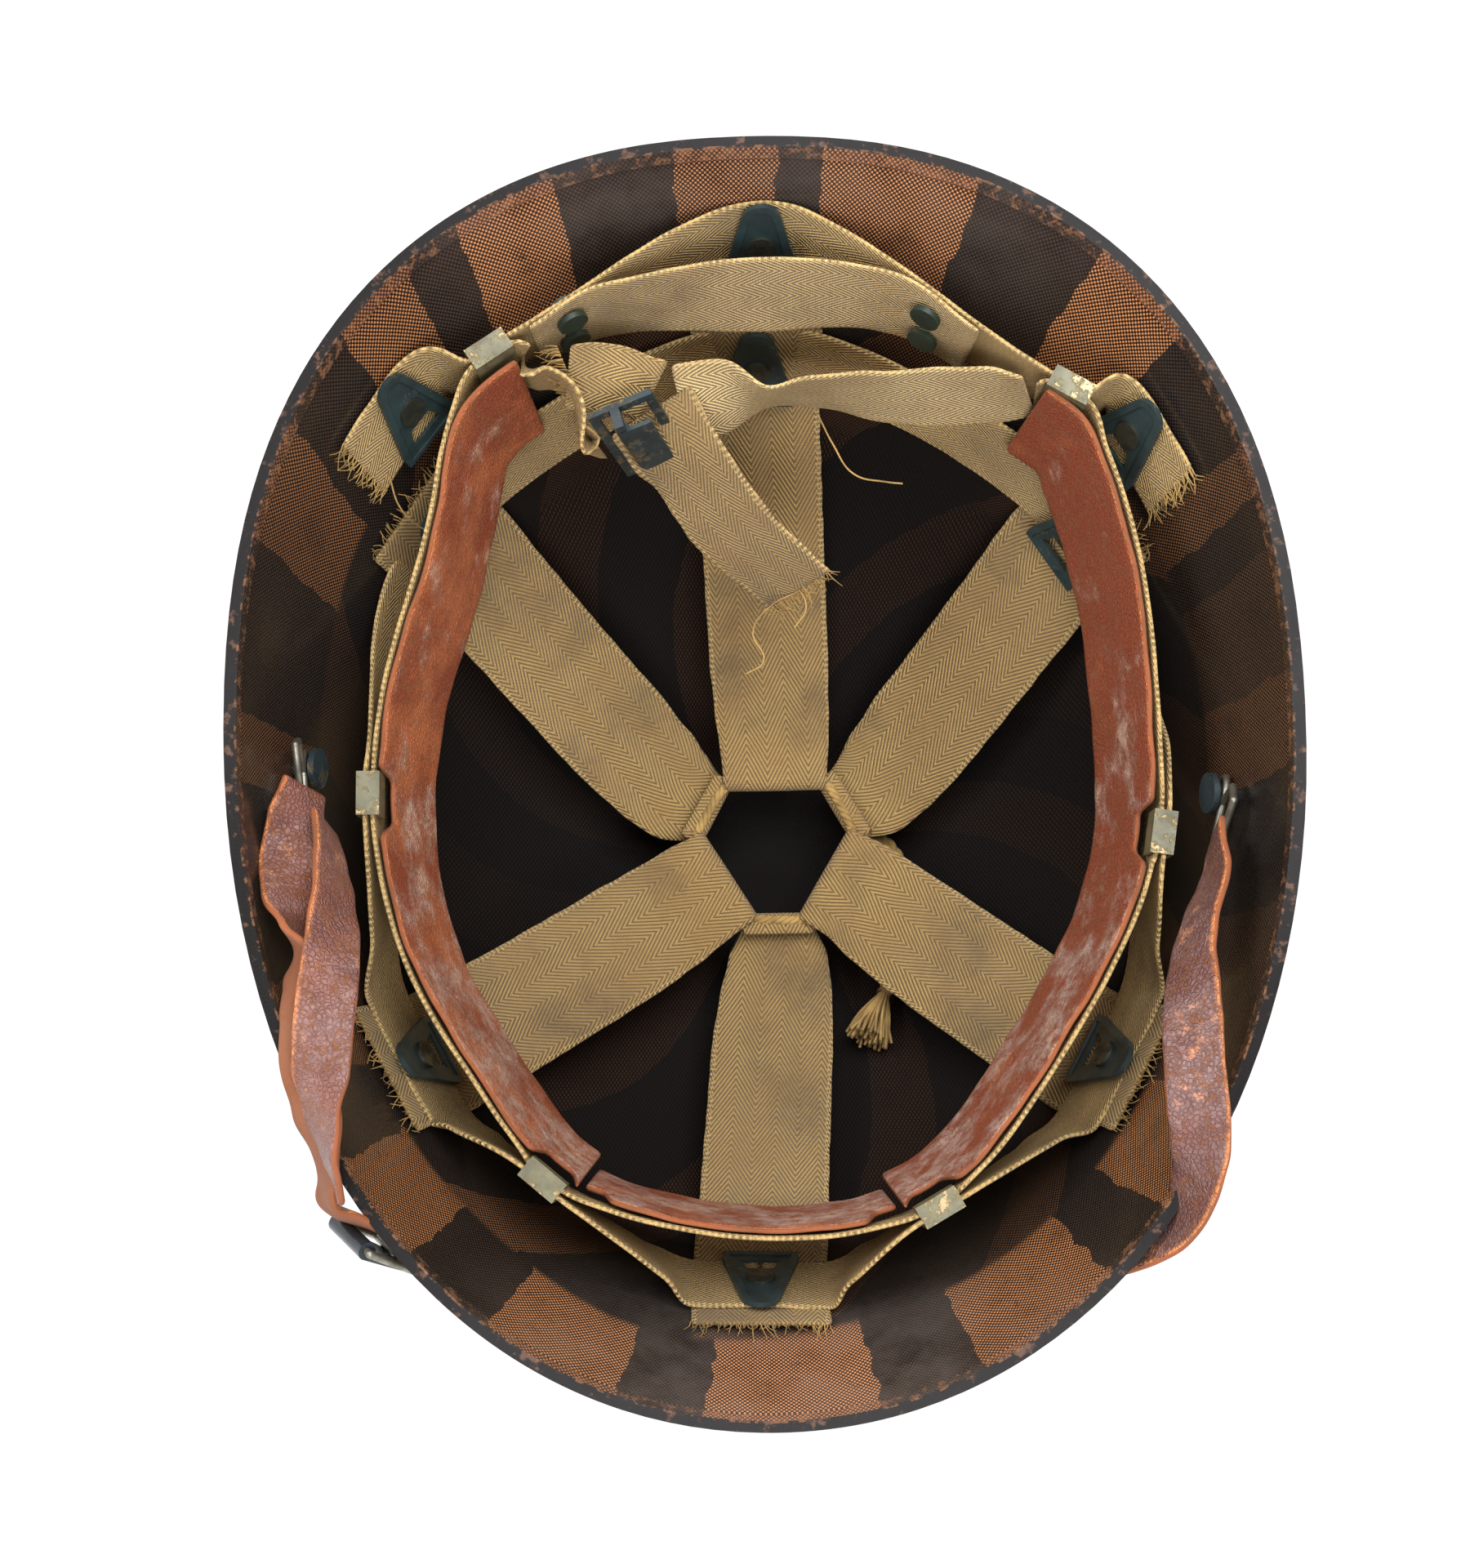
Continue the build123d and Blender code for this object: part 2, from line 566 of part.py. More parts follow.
# Planes on the inner wall at every rivet
suspension_planes = {name: wall_plane(angle, SUSPENSION_HEIGHT, WALL_THICKNESS, 0.0)
                     for name, angle in SUSPENSION_ANGLES.items()}
nape_planes = {name: wall_plane(angle, NAPE_RIVET_HEIGHT, WALL_THICKNESS, 0.0)
               for name, angle in NAPE_ANGLES.items()}
chin_planes = {name: wall_plane(angle, CHIN_STUD_HEIGHT, WALL_THICKNESS, 0.0)
               for name, angle in CHIN_STUD_ANGLES.items()}
strap_level = WALL_STANDOFF + WEBBING_THICKNESS / 2
band_level = strap_level + WEBBING_THICKNESS + LAYER_GAP
suspension_washer_level = band_level + WEBBING_THICKNESS / 2 + LAYER_GAP
nape_washer_level = strap_level + WEBBING_THICKNESS / 2 + LAYER_GAP
hole_radius = RIVET_SHANK_RADIUS + RIVET_CLEARANCE
drill_reach = WALL_THICKNESS + suspension_washer_level + WASHER_THICKNESS
loop_inner_radius = CORD_DIAMETER / 2 + CORD_PLAY

# Path of the headband and the shares of it at which the clips sit
headband_points = [place(shares) for shares in HEADBAND_SHARES]
headband_path = Spline(*headband_points)
headband_length = headband_path.length
headband_runs = [(after - before).length for before, after in zip(headband_points, headband_points[1:])]
clip_shares = {name: sum(headband_runs[:index]) / sum(headband_runs)
               for name, index in HEADBAND_CLIPS.items()}
clip_shares["left_rear"] = CLIP_FROM_BAND_END / headband_length
clip_shares["right_rear"] = 1.0 - CLIP_FROM_BAND_END / headband_length
headband_ends = [headband_path @ 0.0, headband_path @ 1.0]

os.makedirs("parts", exist_ok=True)

# Shell and the binding inside its edge
shell_wall_planes = [*suspension_planes.values(), *nape_planes.values(), *chin_planes.values()]
with BuildPart() as shell:
    add(bowl(0.0))
    add(bowl(WALL_THICKNESS), mode=Mode.SUBTRACT)
    add(above_rim(0.0), mode=Mode.SUBTRACT)
    for wall in shell_wall_planes:
        add(pin(wall, hole_radius, -drill_reach, drill_reach), mode=Mode.SUBTRACT)
save(shell.part, "liner_shell")

with BuildPart() as binding:
    add(bowl(WALL_THICKNESS))
    add(bowl(WALL_THICKNESS + BINDING_THICKNESS), mode=Mode.SUBTRACT)
    add(above_rim(0.0), mode=Mode.SUBTRACT)
    add(above_rim(BINDING_DEPTH), mode=Mode.INTERSECT)
save(binding.part, "rim_binding")

# Washers and rivets
for name, plane in suspension_planes.items():
    save(a_washer(plane.offset(suspension_washer_level)), f"suspension_washer_{name}")
    save(wall_rivet(plane, suspension_washer_level + WASHER_THICKNESS), f"suspension_rivet_{name}")
for name, plane in nape_planes.items():
    save(a_washer(plane.offset(nape_washer_level)), f"nape_washer_{name}")
    save(wall_rivet(plane, nape_washer_level + WASHER_THICKNESS), f"nape_rivet_{name}")

# Crown straps, three over and three under
for name, angle in UPPER_STRAPS.items():
    strap = crown_strap(name, angle, UPPER_TUNNEL_WIDTH, HOLE_RADIUS + loop_inner_radius + WEBBING_THICKNESS, 1)
    save(strap, f"crown_strap_{name}")
for name, angle in LOWER_STRAPS.items():
    strap = crown_strap(name, angle, LOWER_TUNNEL_WIDTH,
                        LOWER_FOLD_RADIUS + loop_inner_radius + WEBBING_THICKNESS, -1)
    save(strap, f"crown_strap_{name}")

# Lacing cord through the six folds, its knot, tail and tassel
crown_lines = sorted([(angle, HOLE_RADIUS) for angle in UPPER_STRAPS.values()]
                     + [(angle, LOWER_FOLD_RADIUS) for angle in LOWER_STRAPS.values()])
corners = []
for (angle, radius), (next_angle, next_radius) in zip(crown_lines, crown_lines[1:] + crown_lines[:1]):
    reach = radius + loop_inner_radius + WEBBING_THICKNESS
    next_reach = next_radius + loop_inner_radius + WEBBING_THICKNESS
    turn = math.radians(next_angle - angle)
    run = (next_reach - reach * math.cos(turn)) / math.sin(turn)
    outward = Vector(math.cos(math.radians(angle)), math.sin(math.radians(angle)))
    corners.append(Vector(CROWN_CENTRE_X, CROWN_CENTRE_Y, CROWN_HEIGHT) + outward * reach
                   + Vector(-outward.Y, outward.X) * run)
with BuildPart() as cord:
    with BuildLine() as cord_line:
        FilletPolyline(*corners, radius=CORD_CORNER_RADIUS, close=True)
    with BuildSketch(Plane(cord_line.line @ 0.0, z_dir=cord_line.line % 0.0)):
        Circle(CORD_DIAMETER / 2)
    sweep()
    with Locations(corners[-1]):
        Sphere(KNOT_DIAMETER / 2)
save(cord.part, "crown_cord")


def corner_radii(points):
    """Round for each inner corner of a route, from its shorter run and its turn."""
    radii = []
    for before, corner, after in zip(points, points[1:], points[2:]):
        arriving = corner - before
        leaving = after - corner
        half_turn = math.radians(arriving.get_angle(leaving)) / 2
        radii.append(ARC_SHARE * min(arriving.length, leaving.length) / math.tan(half_turn))
    return radii


tail_points = [Vector(*point) for point in TAIL_ROUTE]
tail_radii = corner_radii(tail_points)
print("tail corner radii", [round(radius, 2) for radius in tail_radii])
with BuildPart() as tail:
    with BuildLine() as tail_line:
        FilletPolyline(*tail_points, radius=tail_radii)
    with BuildSketch(Plane(tail_line.line @ 0.0, z_dir=tail_line.line % 0.0)):
        Circle(TAIL_DIAMETER / 2)
    sweep()
save(tail.part, "crown_cord_tail")

tassel_plane = Plane(tail_points[-1], z_dir=tail_points[-1] - tail_points[-2])
with BuildPart() as tassel:
    with BuildSketch(tassel_plane.offset(TASSEL_GAP)):
        Circle(TAIL_DIAMETER / 2)
    with BuildSketch(tassel_plane.offset(TASSEL_GAP + TASSEL_LENGTH)):
        Circle(TASSEL_END_RADIUS)
    loft()
save(tassel.part, "crown_cord_tassel")

# Suspension band, from its ends under the front washer round by washers and clips
half_flat = FLAT_AT_STRAP / 2
front = suspension_planes["front"].offset(band_level)
band_stations = rivet_stations(front, -BAND_END_GAP, -half_flat)
for kind, name in SUSPENSION_ORDER:
    if kind == "clip":
        band_stations += clip_stations(name, 1)
    elif kind == "way":
        way_point, along = headband_place(BAND_WAY_HEADBAND_SHARE, BAND_WAY_OUTWARD, BAND_WAY_BELOW)
        band_stations.append((way_point, Vector(0.0, 0.0, 1.0), BAND_WEBBING_WIDTH))
    else:
        band_stations += rivet_stations(suspension_planes[name].offset(band_level), half_flat, -half_flat)
band_stations += rivet_stations(front, half_flat, BAND_END_GAP)
band = drilled(ribbon(band_stations, WEBBING_THICKNESS), suspension_planes.values(), hole_radius, drill_reach)
save(band, "suspension_band")

# Nape band, from one frayed end by the three washers and two clips to the other
half_flat = FLAT_AT_NAPE_RIVET / 2
nape_left = nape_planes["left"].offset(strap_level)
nape_right = nape_planes["right"].offset(strap_level)
nape_stations = [(nape_left.from_local_coords((-half_flat - NAPE_END_LENGTH, 0.0, NAPE_END_LIFT)),
                  nape_left.y_dir, BAND_WEBBING_WIDTH)]
nape_stations += rivet_stations(nape_left, -half_flat, half_flat)
nape_stations += clip_stations("left_rear", -1)
nape_stations += rivet_stations(nape_planes["rear"].offset(strap_level), -half_flat, half_flat)
nape_stations += clip_stations("right_rear", -1)
nape_stations += rivet_stations(nape_right, -half_flat, half_flat)
nape_stations.append((nape_right.from_local_coords((half_flat + NAPE_END_LENGTH, 0.0, NAPE_END_LIFT)),
                      nape_right.y_dir, BAND_WEBBING_WIDTH))

# Nape strap inside the two legs of the nape band, with two press studs at each end
legs = {"left": (nape_stations[4][0], nape_stations[5][0]),
        "right": (nape_stations[7][0], nape_stations[6][0])}
strap_offset = WEBBING_THICKNESS + NAPE_STRAP_GAP
upright = Vector(0.0, 0.0, 1.0)
strap_ends = {}
stud_planes = {}
for name, (clip_end, rivet_end) in legs.items():
    run = rivet_end - clip_end
    strap_ends[name] = []
    for share in NAPE_STRAP_END_SHARES[name]:
        point, across, inward = leg_place(clip_end, run, share)
        strap_ends[name].append((point + inward * strap_offset, across, NAPE_STRAP_WIDTH))
    for level_name, rise in (("upper", STUD_SPACING / 2), ("lower", -STUD_SPACING / 2)):
        point, across, inward = leg_place(clip_end, run, STUD_POSITION_SHARES[name])
        stud_planes[f"{name}_{level_name}"] = Plane(point + across * rise, z_dir=inward)
strap_middle = (place(NAPE_STRAP_MIDDLE_SHARES), nape_planes["rear"].y_dir, NAPE_STRAP_WIDTH)
strap_order = [*strap_ends["left"], strap_middle, *reversed(strap_ends["right"])]
nape_strap = ribbon(strap_order, WEBBING_THICKNESS)
stud_hole = STUD_SHANK_RADIUS + RIVET_CLEARANCE
save(drilled(nape_strap, stud_planes.values(), stud_hole, STUD_RADIUS), "nape_strap")
nape_band = drilled(ribbon(nape_stations, WEBBING_THICKNESS), nape_planes.values(), hole_radius, drill_reach)
save(drilled(nape_band, stud_planes.values(), stud_hole, STUD_RADIUS), "nape_band")
inner_face = strap_offset + WEBBING_THICKNESS / 2 + STUD_SEAT
outer_face = -WEBBING_THICKNESS / 2 - STUD_SEAT
for name, plane in stud_planes.items():
    stud = joined(pin(plane, STUD_RADIUS, inner_face, inner_face + STUD_CAP_HEIGHT),
                  pin(plane, STUD_SHANK_RADIUS, outer_face, inner_face),
                  pin(plane, STUD_RADIUS, outer_face - STUD_CAP_HEIGHT, outer_face))
    save(stud, f"nape_stud_{name}")

# Headband webbing
flat_share = CLIP_BAND_HALF_FLAT / headband_length
webbing_places = []
for index in range(HEADBAND_STATIONS):
    share = index / (HEADBAND_STATIONS - 1)
    if min(abs(share - clip) for clip in clip_shares.values()) > flat_share:
        webbing_places.append((share, headband_place(share, 0.0, BAND_WEBBING_WIDTH / 2)[0]))
for clip in clip_shares.values():
    point, along = headband_place(clip, 0.0, BAND_WEBBING_WIDTH / 2)
    webbing_places.append((clip - flat_share, point - along * CLIP_BAND_HALF_FLAT))
    webbing_places.append((clip + flat_share, point + along * CLIP_BAND_HALF_FLAT))
webbing_stations = [(point, upright, BAND_WEBBING_WIDTH) for share, point in sorted(
    webbing_places, key=lambda entry: entry[0])]
save(ribbon(webbing_stations, WEBBING_THICKNESS), "headband_webbing")

# Leather sweatband in three lengths that lean inwards below the webbing
lean = math.atan(LEATHER_SLOPE_SHARE)
leather_inset = (WEBBING_THICKNESS / 2 + LEATHER_GAP + LEATHER_THICKNESS / 2 / math.cos(lean)
                 + LEATHER_WIDTH / 2 * math.sin(lean))
leather_below = LEATHER_WIDTH / 2 * math.cos(lean)
seam_share = LEATHER_SEAM_FROM_CLIP / headband_length
gap_share = LEATHER_SEAM_GAP / headband_length
leather_spans = {"left": (LEATHER_END_SHARE, clip_shares["left_front"] + seam_share),
                 "front": (clip_shares["left_front"] + seam_share + gap_share,
                           clip_shares["right_front"] - seam_share - gap_share),
                 "right": (clip_shares["right_front"] - seam_share, 1.0 - LEATHER_END_SHARE)}
for name, (first, last) in leather_spans.items():
    stations = []
    for index in range(LEATHER_STATIONS):
        share = first + (last - first) * index / (LEATHER_STATIONS - 1)
        point, along = headband_place(share, -leather_inset, leather_below)
        outward = Vector(along.Y, -along.X, 0.0)
        across = upright * math.cos(lean) + outward * math.sin(lean)
        stations.append((point, across, LEATHER_WIDTH))
    with BuildPart() as leather:
        add(ribbon(stations, LEATHER_THICKNESS))
        for clip, share in clip_shares.items():
            if first <= share <= last:
                notch, along = headband_place(share, 0.0, 0.0)
                with Locations(Plane(notch, x_dir=along, z_dir=upright)):
                    Box(CLIP_WIDTH + 2 * LEATHER_NOTCH_MARGIN, 2 * leather_inset + LEATHER_WIDTH,
                        2 * LEATHER_NOTCH_DEPTH, mode=Mode.SUBTRACT)
    save(leather.part, f"headband_leather_{name}")

# Six clips
clip_inside = WEBBING_THICKNESS / 2 + CLIP_CLEARANCE
clip_outside = WEBBING_THICKNESS * 1.5 + CLIP_BAND_GAP + CLIP_CLEARANCE
for name, share in clip_shares.items():
    top, along = headband_place(share, 0.0, -CLIP_CLEARANCE)
    outward = Vector(along.Y, -along.X, 0.0)
    side = Plane(top, x_dir=outward, z_dir=outward.cross(upright))
    with BuildPart() as clip:
        with BuildSketch(side):
            with Locations(((clip_outside - clip_inside) / 2, CLIP_SHEET / 2)):
                Rectangle(clip_outside + clip_inside + 2 * CLIP_SHEET, CLIP_SHEET)
            with Locations((-clip_inside - CLIP_SHEET / 2, (CLIP_SHEET - CLIP_INNER_LEG) / 2)):
                Rectangle(CLIP_SHEET, CLIP_INNER_LEG + CLIP_SHEET)
            with Locations((clip_outside + CLIP_SHEET / 2, (CLIP_SHEET - CLIP_OUTER_LEG) / 2)):
                Rectangle(CLIP_SHEET, CLIP_OUTER_LEG + CLIP_SHEET)
        extrude(amount=CLIP_WIDTH / 2, both=True)
    save(clip.part, f"headband_clip_{name}")

# Friction buckle at the back: its own plane has +X along the webbing and +Z towards the head
bar_direction = Vector(*BUCKLE_BAR_SHARES).normalized()
run_direction = Vector(*BUCKLE_RUN_SHARES)
run_direction = (run_direction - bar_direction * run_direction.dot(bar_direction)).normalized()
buckle_plane = Plane(place(BUCKLE_SHARES), x_dir=run_direction, z_dir=bar_direction.cross(run_direction))
frame_width = BAND_WEBBING_WIDTH + 2 * BUCKLE_SIDE_MARGIN
bar_reach = BUCKLE_LENGTH / 2 - BUCKLE_FRAME_BAR / 2
lug_reach = frame_width / 2 - BUCKLE_FRAME_BAR / 2
jaw_axis_local = (JAW_AXIS_FROM_BAR - bar_reach, 0.0, JAW_AXIS_RISE)
jaw_origin = buckle_plane.from_local_coords(jaw_axis_local)
jaw_axis = Plane(jaw_origin, x_dir=buckle_plane.x_dir, z_dir=buckle_plane.y_dir)
with BuildPart() as frame:
    with BuildSketch(buckle_plane.offset(-BUCKLE_FRAME_THICKNESS / 2)):
        Rectangle(BUCKLE_LENGTH, frame_width)
        Rectangle(BUCKLE_LENGTH - 2 * BUCKLE_FRAME_BAR, frame_width - 2 * BUCKLE_FRAME_BAR,
                  mode=Mode.SUBTRACT)
    extrude(amount=BUCKLE_FRAME_THICKNESS)
    with BuildSketch(buckle_plane):
        with Locations((JAW_AXIS_FROM_BAR - bar_reach, lug_reach),
                       (JAW_AXIS_FROM_BAR - bar_reach, -lug_reach)):
            Rectangle(BUCKLE_FRAME_BAR, BUCKLE_FRAME_BAR)
    extrude(amount=BUCKLE_LUG_RISE)
    add(pin(jaw_axis, JAW_PIN_RADIUS, -lug_reach, lug_reach))
save(frame.part, "headband_buckle_frame")

barrel_half = lug_reach - BUCKLE_FRAME_BAR / 2 - JAW_SIDE_GAP
jaw_plane = Plane(jaw_origin, x_dir=buckle_plane.x_dir, z_dir=buckle_plane.z_dir)
with BuildPart() as jaw:
    add(pin(jaw_axis, JAW_BARREL_RADIUS, -barrel_half, barrel_half))
    with BuildSketch(jaw_plane.offset(JAW_BARREL_RADIUS - JAW_THICKNESS)):
        with Locations((JAW_LENGTH / 2, 0.0)):
            Rectangle(JAW_LENGTH, 2 * barrel_half)
    extrude(amount=JAW_THICKNESS)
    tooth_count = int(2 * barrel_half / JAW_TOOTH_PITCH)
    with BuildSketch(jaw_plane.offset(JAW_BARREL_RADIUS - JAW_THICKNESS)):
        with Locations((JAW_LENGTH - JAW_TOOTH_RADIUS * 1.5, 0.0)):
            with GridLocations(0.0, JAW_TOOTH_PITCH, 1, tooth_count):
                Circle(JAW_TOOTH_RADIUS)
    extrude(amount=-JAW_TOOTH_LENGTH)
    add(pin(jaw_axis, JAW_PIN_RADIUS + JAW_PIN_CLEARANCE, -frame_width, frame_width), mode=Mode.SUBTRACT)
save(jaw.part, "headband_buckle_jaw")
print("jaw hinge", tuple(round(value, 3) for value in jaw_origin),
      tuple(round(value, 4) for value in buckle_plane.y_dir))

# Webbing from both ends of the headband to the buckle; the right one turns back as the free tail
for name, end_index, sign, shares_list in (("left", 0, -1, REAR_WEB_LEFT_SHARES),
                                           ("right", -1, 1, REAR_WEB_RIGHT_SHARES)):
    fold = Plane(buckle_plane.from_local_coords((sign * bar_reach, 0.0, 0.0)),
                 x_dir=buckle_plane.x_dir * sign, z_dir=buckle_plane.y_dir)
    outer_side = -1 if fold.y_dir.dot(buckle_plane.z_dir) > 0.0 else 1
    folded = fold_stations(fold, BAND_WEBBING_WIDTH, BUCKLE_FOLD_RADIUS, WEBBING_THICKNESS,
                           BUCKLE_FOLD_LEG, outer_side)
    across = folded[0][1] if folded[0][1].Z > 0.0 else -folded[0][1]
    end_point = headband_ends[end_index] - upright * (BAND_WEBBING_WIDTH / 2)
    end_run = (place(shares_list[0]) - end_point).normalized()
    stations = [(end_point + end_run * REAR_WEB_START_GAP, upright, BAND_WEBBING_WIDTH)]
    stations += [(place(shares), upright, BAND_WEBBING_WIDTH) for shares in shares_list]
    stations += [(folded[1][0], across, BAND_WEBBING_WIDTH), (folded[0][0], across, BAND_WEBBING_WIDTH)]
    web = joined(ribbon(stations, WEBBING_THICKNESS),
                 fold_loop(fold, BAND_WEBBING_WIDTH, BUCKLE_FOLD_RADIUS, WEBBING_THICKNESS,
                           BUCKLE_FOLD_LEG, outer_side, sewn=name == "left"))
    if name == "right":
        level = -outer_side * (BUCKLE_FOLD_RADIUS + WEBBING_THICKNESS / 2)
        tail_stations = [(fold.from_local_coords((reach, level, 0.0)), across, BAND_WEBBING_WIDTH)
                         for reach in (0.0, TAIL_FLAT_LENGTH)]
        tail_stations += [(place(shares), across, BAND_WEBBING_WIDTH) for shares in TAIL_WEB_SHARES]
        save(ribbon(tail_stations, WEBBING_THICKNESS, keep_across=False), "headband_tail_web")
    save(web, f"headband_{name}_web")

# Chinstrap studs through the shell and the keyhole wire loops that hook over them
bails = {}
for name, plane in chin_planes.items():
    seat = -WALL_THICKNESS - RIVET_SEAT_GAP
    stud = joined(pin(plane, RIVET_OUTER_HEAD_RADIUS, seat - RIVET_OUTER_HEAD_HEIGHT, seat),
                  pin(plane, RIVET_SHANK_RADIUS, seat, CHIN_STUD_NECK_END),
                  pin(plane, CHIN_STUD_NECK_RADIUS, CHIN_STUD_NECK_START, CHIN_STUD_NECK_END),
                  pin(plane, CHIN_STUD_RADIUS, CHIN_STUD_NECK_END, CHIN_STUD_NECK_END + CHIN_STUD_CAP_HEIGHT))
    save(stud, f"chinstrap_stud_{name}")
    flat = turned(plane.offset(LOOP_LEVEL), LOOP_TURNS[name])
    loop_plane = Plane(flat.origin, x_dir=flat.x_dir.rotate(Axis(flat.origin, flat.y_dir), -LOOP_TILT),
                       z_dir=flat.z_dir.rotate(Axis(flat.origin, flat.y_dir), -LOOP_TILT))
    start = loop_plane.from_local_coords((LOOP_EYE_RADIUS, 0.0, 0.0))
    corners = [loop_plane.from_local_coords((reach, side * LOOP_BAR_WIDTH / 2, 0.0))
               for reach, side in ((LOOP_LENGTH - LOOP_STRAIGHT, -1), (LOOP_LENGTH, -1),
                                   (LOOP_LENGTH, 1), (LOOP_LENGTH - LOOP_STRAIGHT, 1))]
    with BuildPart() as bail:
        add(wire_run([start, *corners], LOOP_WIRE_DIAMETER / 2, True))
        with Locations(loop_plane):
            Torus(LOOP_EYE_RADIUS, LOOP_WIRE_DIAMETER / 2)
    save(bail.part, f"chinstrap_loop_{name}")
    bails[name] = loop_plane


def bail_fold(name, side, leg):
    """Strap end folded round a loop's bar with one leg, and the strap's two stations there."""
    loop_plane = bails[name]
    bar = loop_plane.from_local_coords((LOOP_LENGTH, 0.0, 0.0))
    fold = Plane(bar, x_dir=loop_plane.x_dir, z_dir=loop_plane.y_dir)
    leg_side = side if fold.y_dir.dot(loop_plane.z_dir) > 0.0 else -side
    stations = fold_stations(fold, CHIN_STRAP_WIDTH, CHIN_FOLD_RADIUS, CHIN_STRAP_THICKNESS,
                             CHIN_FOLD_LEG, leg_side)
    loop = fold_loop(fold, CHIN_STRAP_WIDTH, CHIN_FOLD_RADIUS, CHIN_STRAP_THICKNESS, leg, leg_side)
    return loop, stations


# Long strap: right loop, over the rim, round the visor, over the rim again, left loop
right_loop, right_folded = bail_fold("right", 1, CHIN_FOLD_LEG)
left_loop, left_folded = bail_fold("left", 1, CHIN_FOLD_LEG - CHIN_STRAP_THICKNESS)
save(left_loop, "chinstrap_left_end")
visor_stations = []
for angle in CHIN_VISOR_ANGLES:
    ahead = math.sin(math.radians(angle))
    height = RIM_HEIGHT - VISOR_DROP * ahead ** 2 - CHIN_VISOR_DROP
    outside = wall_plane(angle, height, 0.0, -CHIN_VISOR_STANDOFF - CHIN_STRAP_THICKNESS / 2)
    visor_stations.append((outside.origin, outside.y_dir, CHIN_STRAP_WIDTH))
left_stations = [chin_station(shares) for shares in CHIN_LEFT_SHARES]


def aligned(stations):
    """Stations with the widths' directions all pointing to one side along the strap."""
    result = [stations[0]]
    for middle, across, width in stations[1:]:
        result.append((middle, across if across.dot(result[-1][1]) >= 0.0 else -across, width))
    return result


long_stations = aligned([*right_folded, *[chin_station(shares) for shares in CHIN_RIGHT_SHARES],
                         *visor_stations, *reversed(left_stations), *reversed(left_folded)])
save(joined(ribbon(long_stations, CHIN_STRAP_THICKNESS, keep_across=False), right_loop), "chinstrap_long")

# Return layer above it on the left, as far as the buckle
return_stations = [chin_station(shares) for shares in CHIN_RETURN_SHARES]
for index in CHIN_RETURN_OVER_LEFT:
    middle, across, width = left_stations[index]
    before = left_stations[index - 1][0]
    after = left_stations[min(index + 1, len(left_stations) - 1)][0]
    normal = (after - before).normalized().cross(across).normalized()
    normal = normal if normal.Z > 0.0 else -normal
    return_stations.append((middle + normal * (CHIN_STRAP_THICKNESS + CHIN_LAYER_GAP), across, width))
save(ribbon(aligned(return_stations), CHIN_STRAP_THICKNESS, keep_across=False), "chinstrap_return")

# Buckle: a wire frame lying on the strap outside the visor and a lever hinged to its upper bar
strap_end = left_stations[-1][0]
strap_turn = visor_stations[-1][0]
buckle_run = (strap_end - strap_turn).normalized()
buckle_out = Vector(strap_turn.X, strap_turn.Y, 0.0).normalized()
buckle_out = (buckle_out - buckle_run * buckle_out.dot(buckle_run)).normalized()
buckle_middle = strap_turn + (strap_end - strap_turn) * 0.5 + buckle_out * (
    CHIN_STRAP_THICKNESS / 2 + CHIN_BUCKLE_LIFT)
chin_buckle = Plane(buckle_middle, x_dir=buckle_run, z_dir=buckle_out)
half_length = CHIN_BUCKLE_LENGTH / 2
half_width = CHIN_BUCKLE_WIDTH / 2
wire_corners = [chin_buckle.from_local_coords((x_sign * half_length, y_sign * half_width, 0.0))
                for x_sign, y_sign in ((1, 1), (1, -1), (-1, -1), (-1, 1))]
save(wire_run(wire_corners, CHIN_BUCKLE_WIRE / 2, True), "chinstrap_buckle_frame")

lever_origin = chin_buckle.from_local_coords((half_length, 0.0, 0.0))
lever_plane = Plane(lever_origin, x_dir=-chin_buckle.x_dir, z_dir=chin_buckle.z_dir)
lever_axis = Plane(lever_origin, x_dir=chin_buckle.x_dir, z_dir=chin_buckle.y_dir)
lever_half = half_width - LEVER_SIDE_GAP
with BuildPart() as lever:
    add(pin(lever_axis, LEVER_BARREL_RADIUS, -lever_half, lever_half))
    with BuildSketch(lever_plane.offset(LEVER_BARREL_RADIUS - LEVER_THICKNESS)):
        with BuildLine():
            Polyline((0.0, lever_half), (LEVER_LENGTH, LEVER_TIP_WIDTH / 2),
                     (LEVER_LENGTH, -LEVER_TIP_WIDTH / 2), (0.0, -lever_half), close=True)
        make_face()
        with Locations((LEVER_LENGTH - LEVER_HOLE_FROM_TIP, 0.0)):
            Circle(LEVER_HOLE_RADIUS, mode=Mode.SUBTRACT)
    extrude(amount=LEVER_THICKNESS)
    add(pin(lever_axis, CHIN_BUCKLE_WIRE / 2 + LEVER_BARREL_CLEARANCE, -half_width, half_width),
        mode=Mode.SUBTRACT)
save(lever.part, "chinstrap_buckle_lever")
print("lever hinge", tuple(round(value, 3) for value in lever_origin),
      tuple(round(value, 4) for value in chin_buckle.y_dir))
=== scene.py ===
"""Looks of a fabric laminate helmet liner that lies on its crown, seen from its open side."""

import logging
import math
import random
from dataclasses import dataclass, field
from enum import Enum
from typing import Callable, Sequence

import bpy
from mathutils import Matrix, Vector, noise

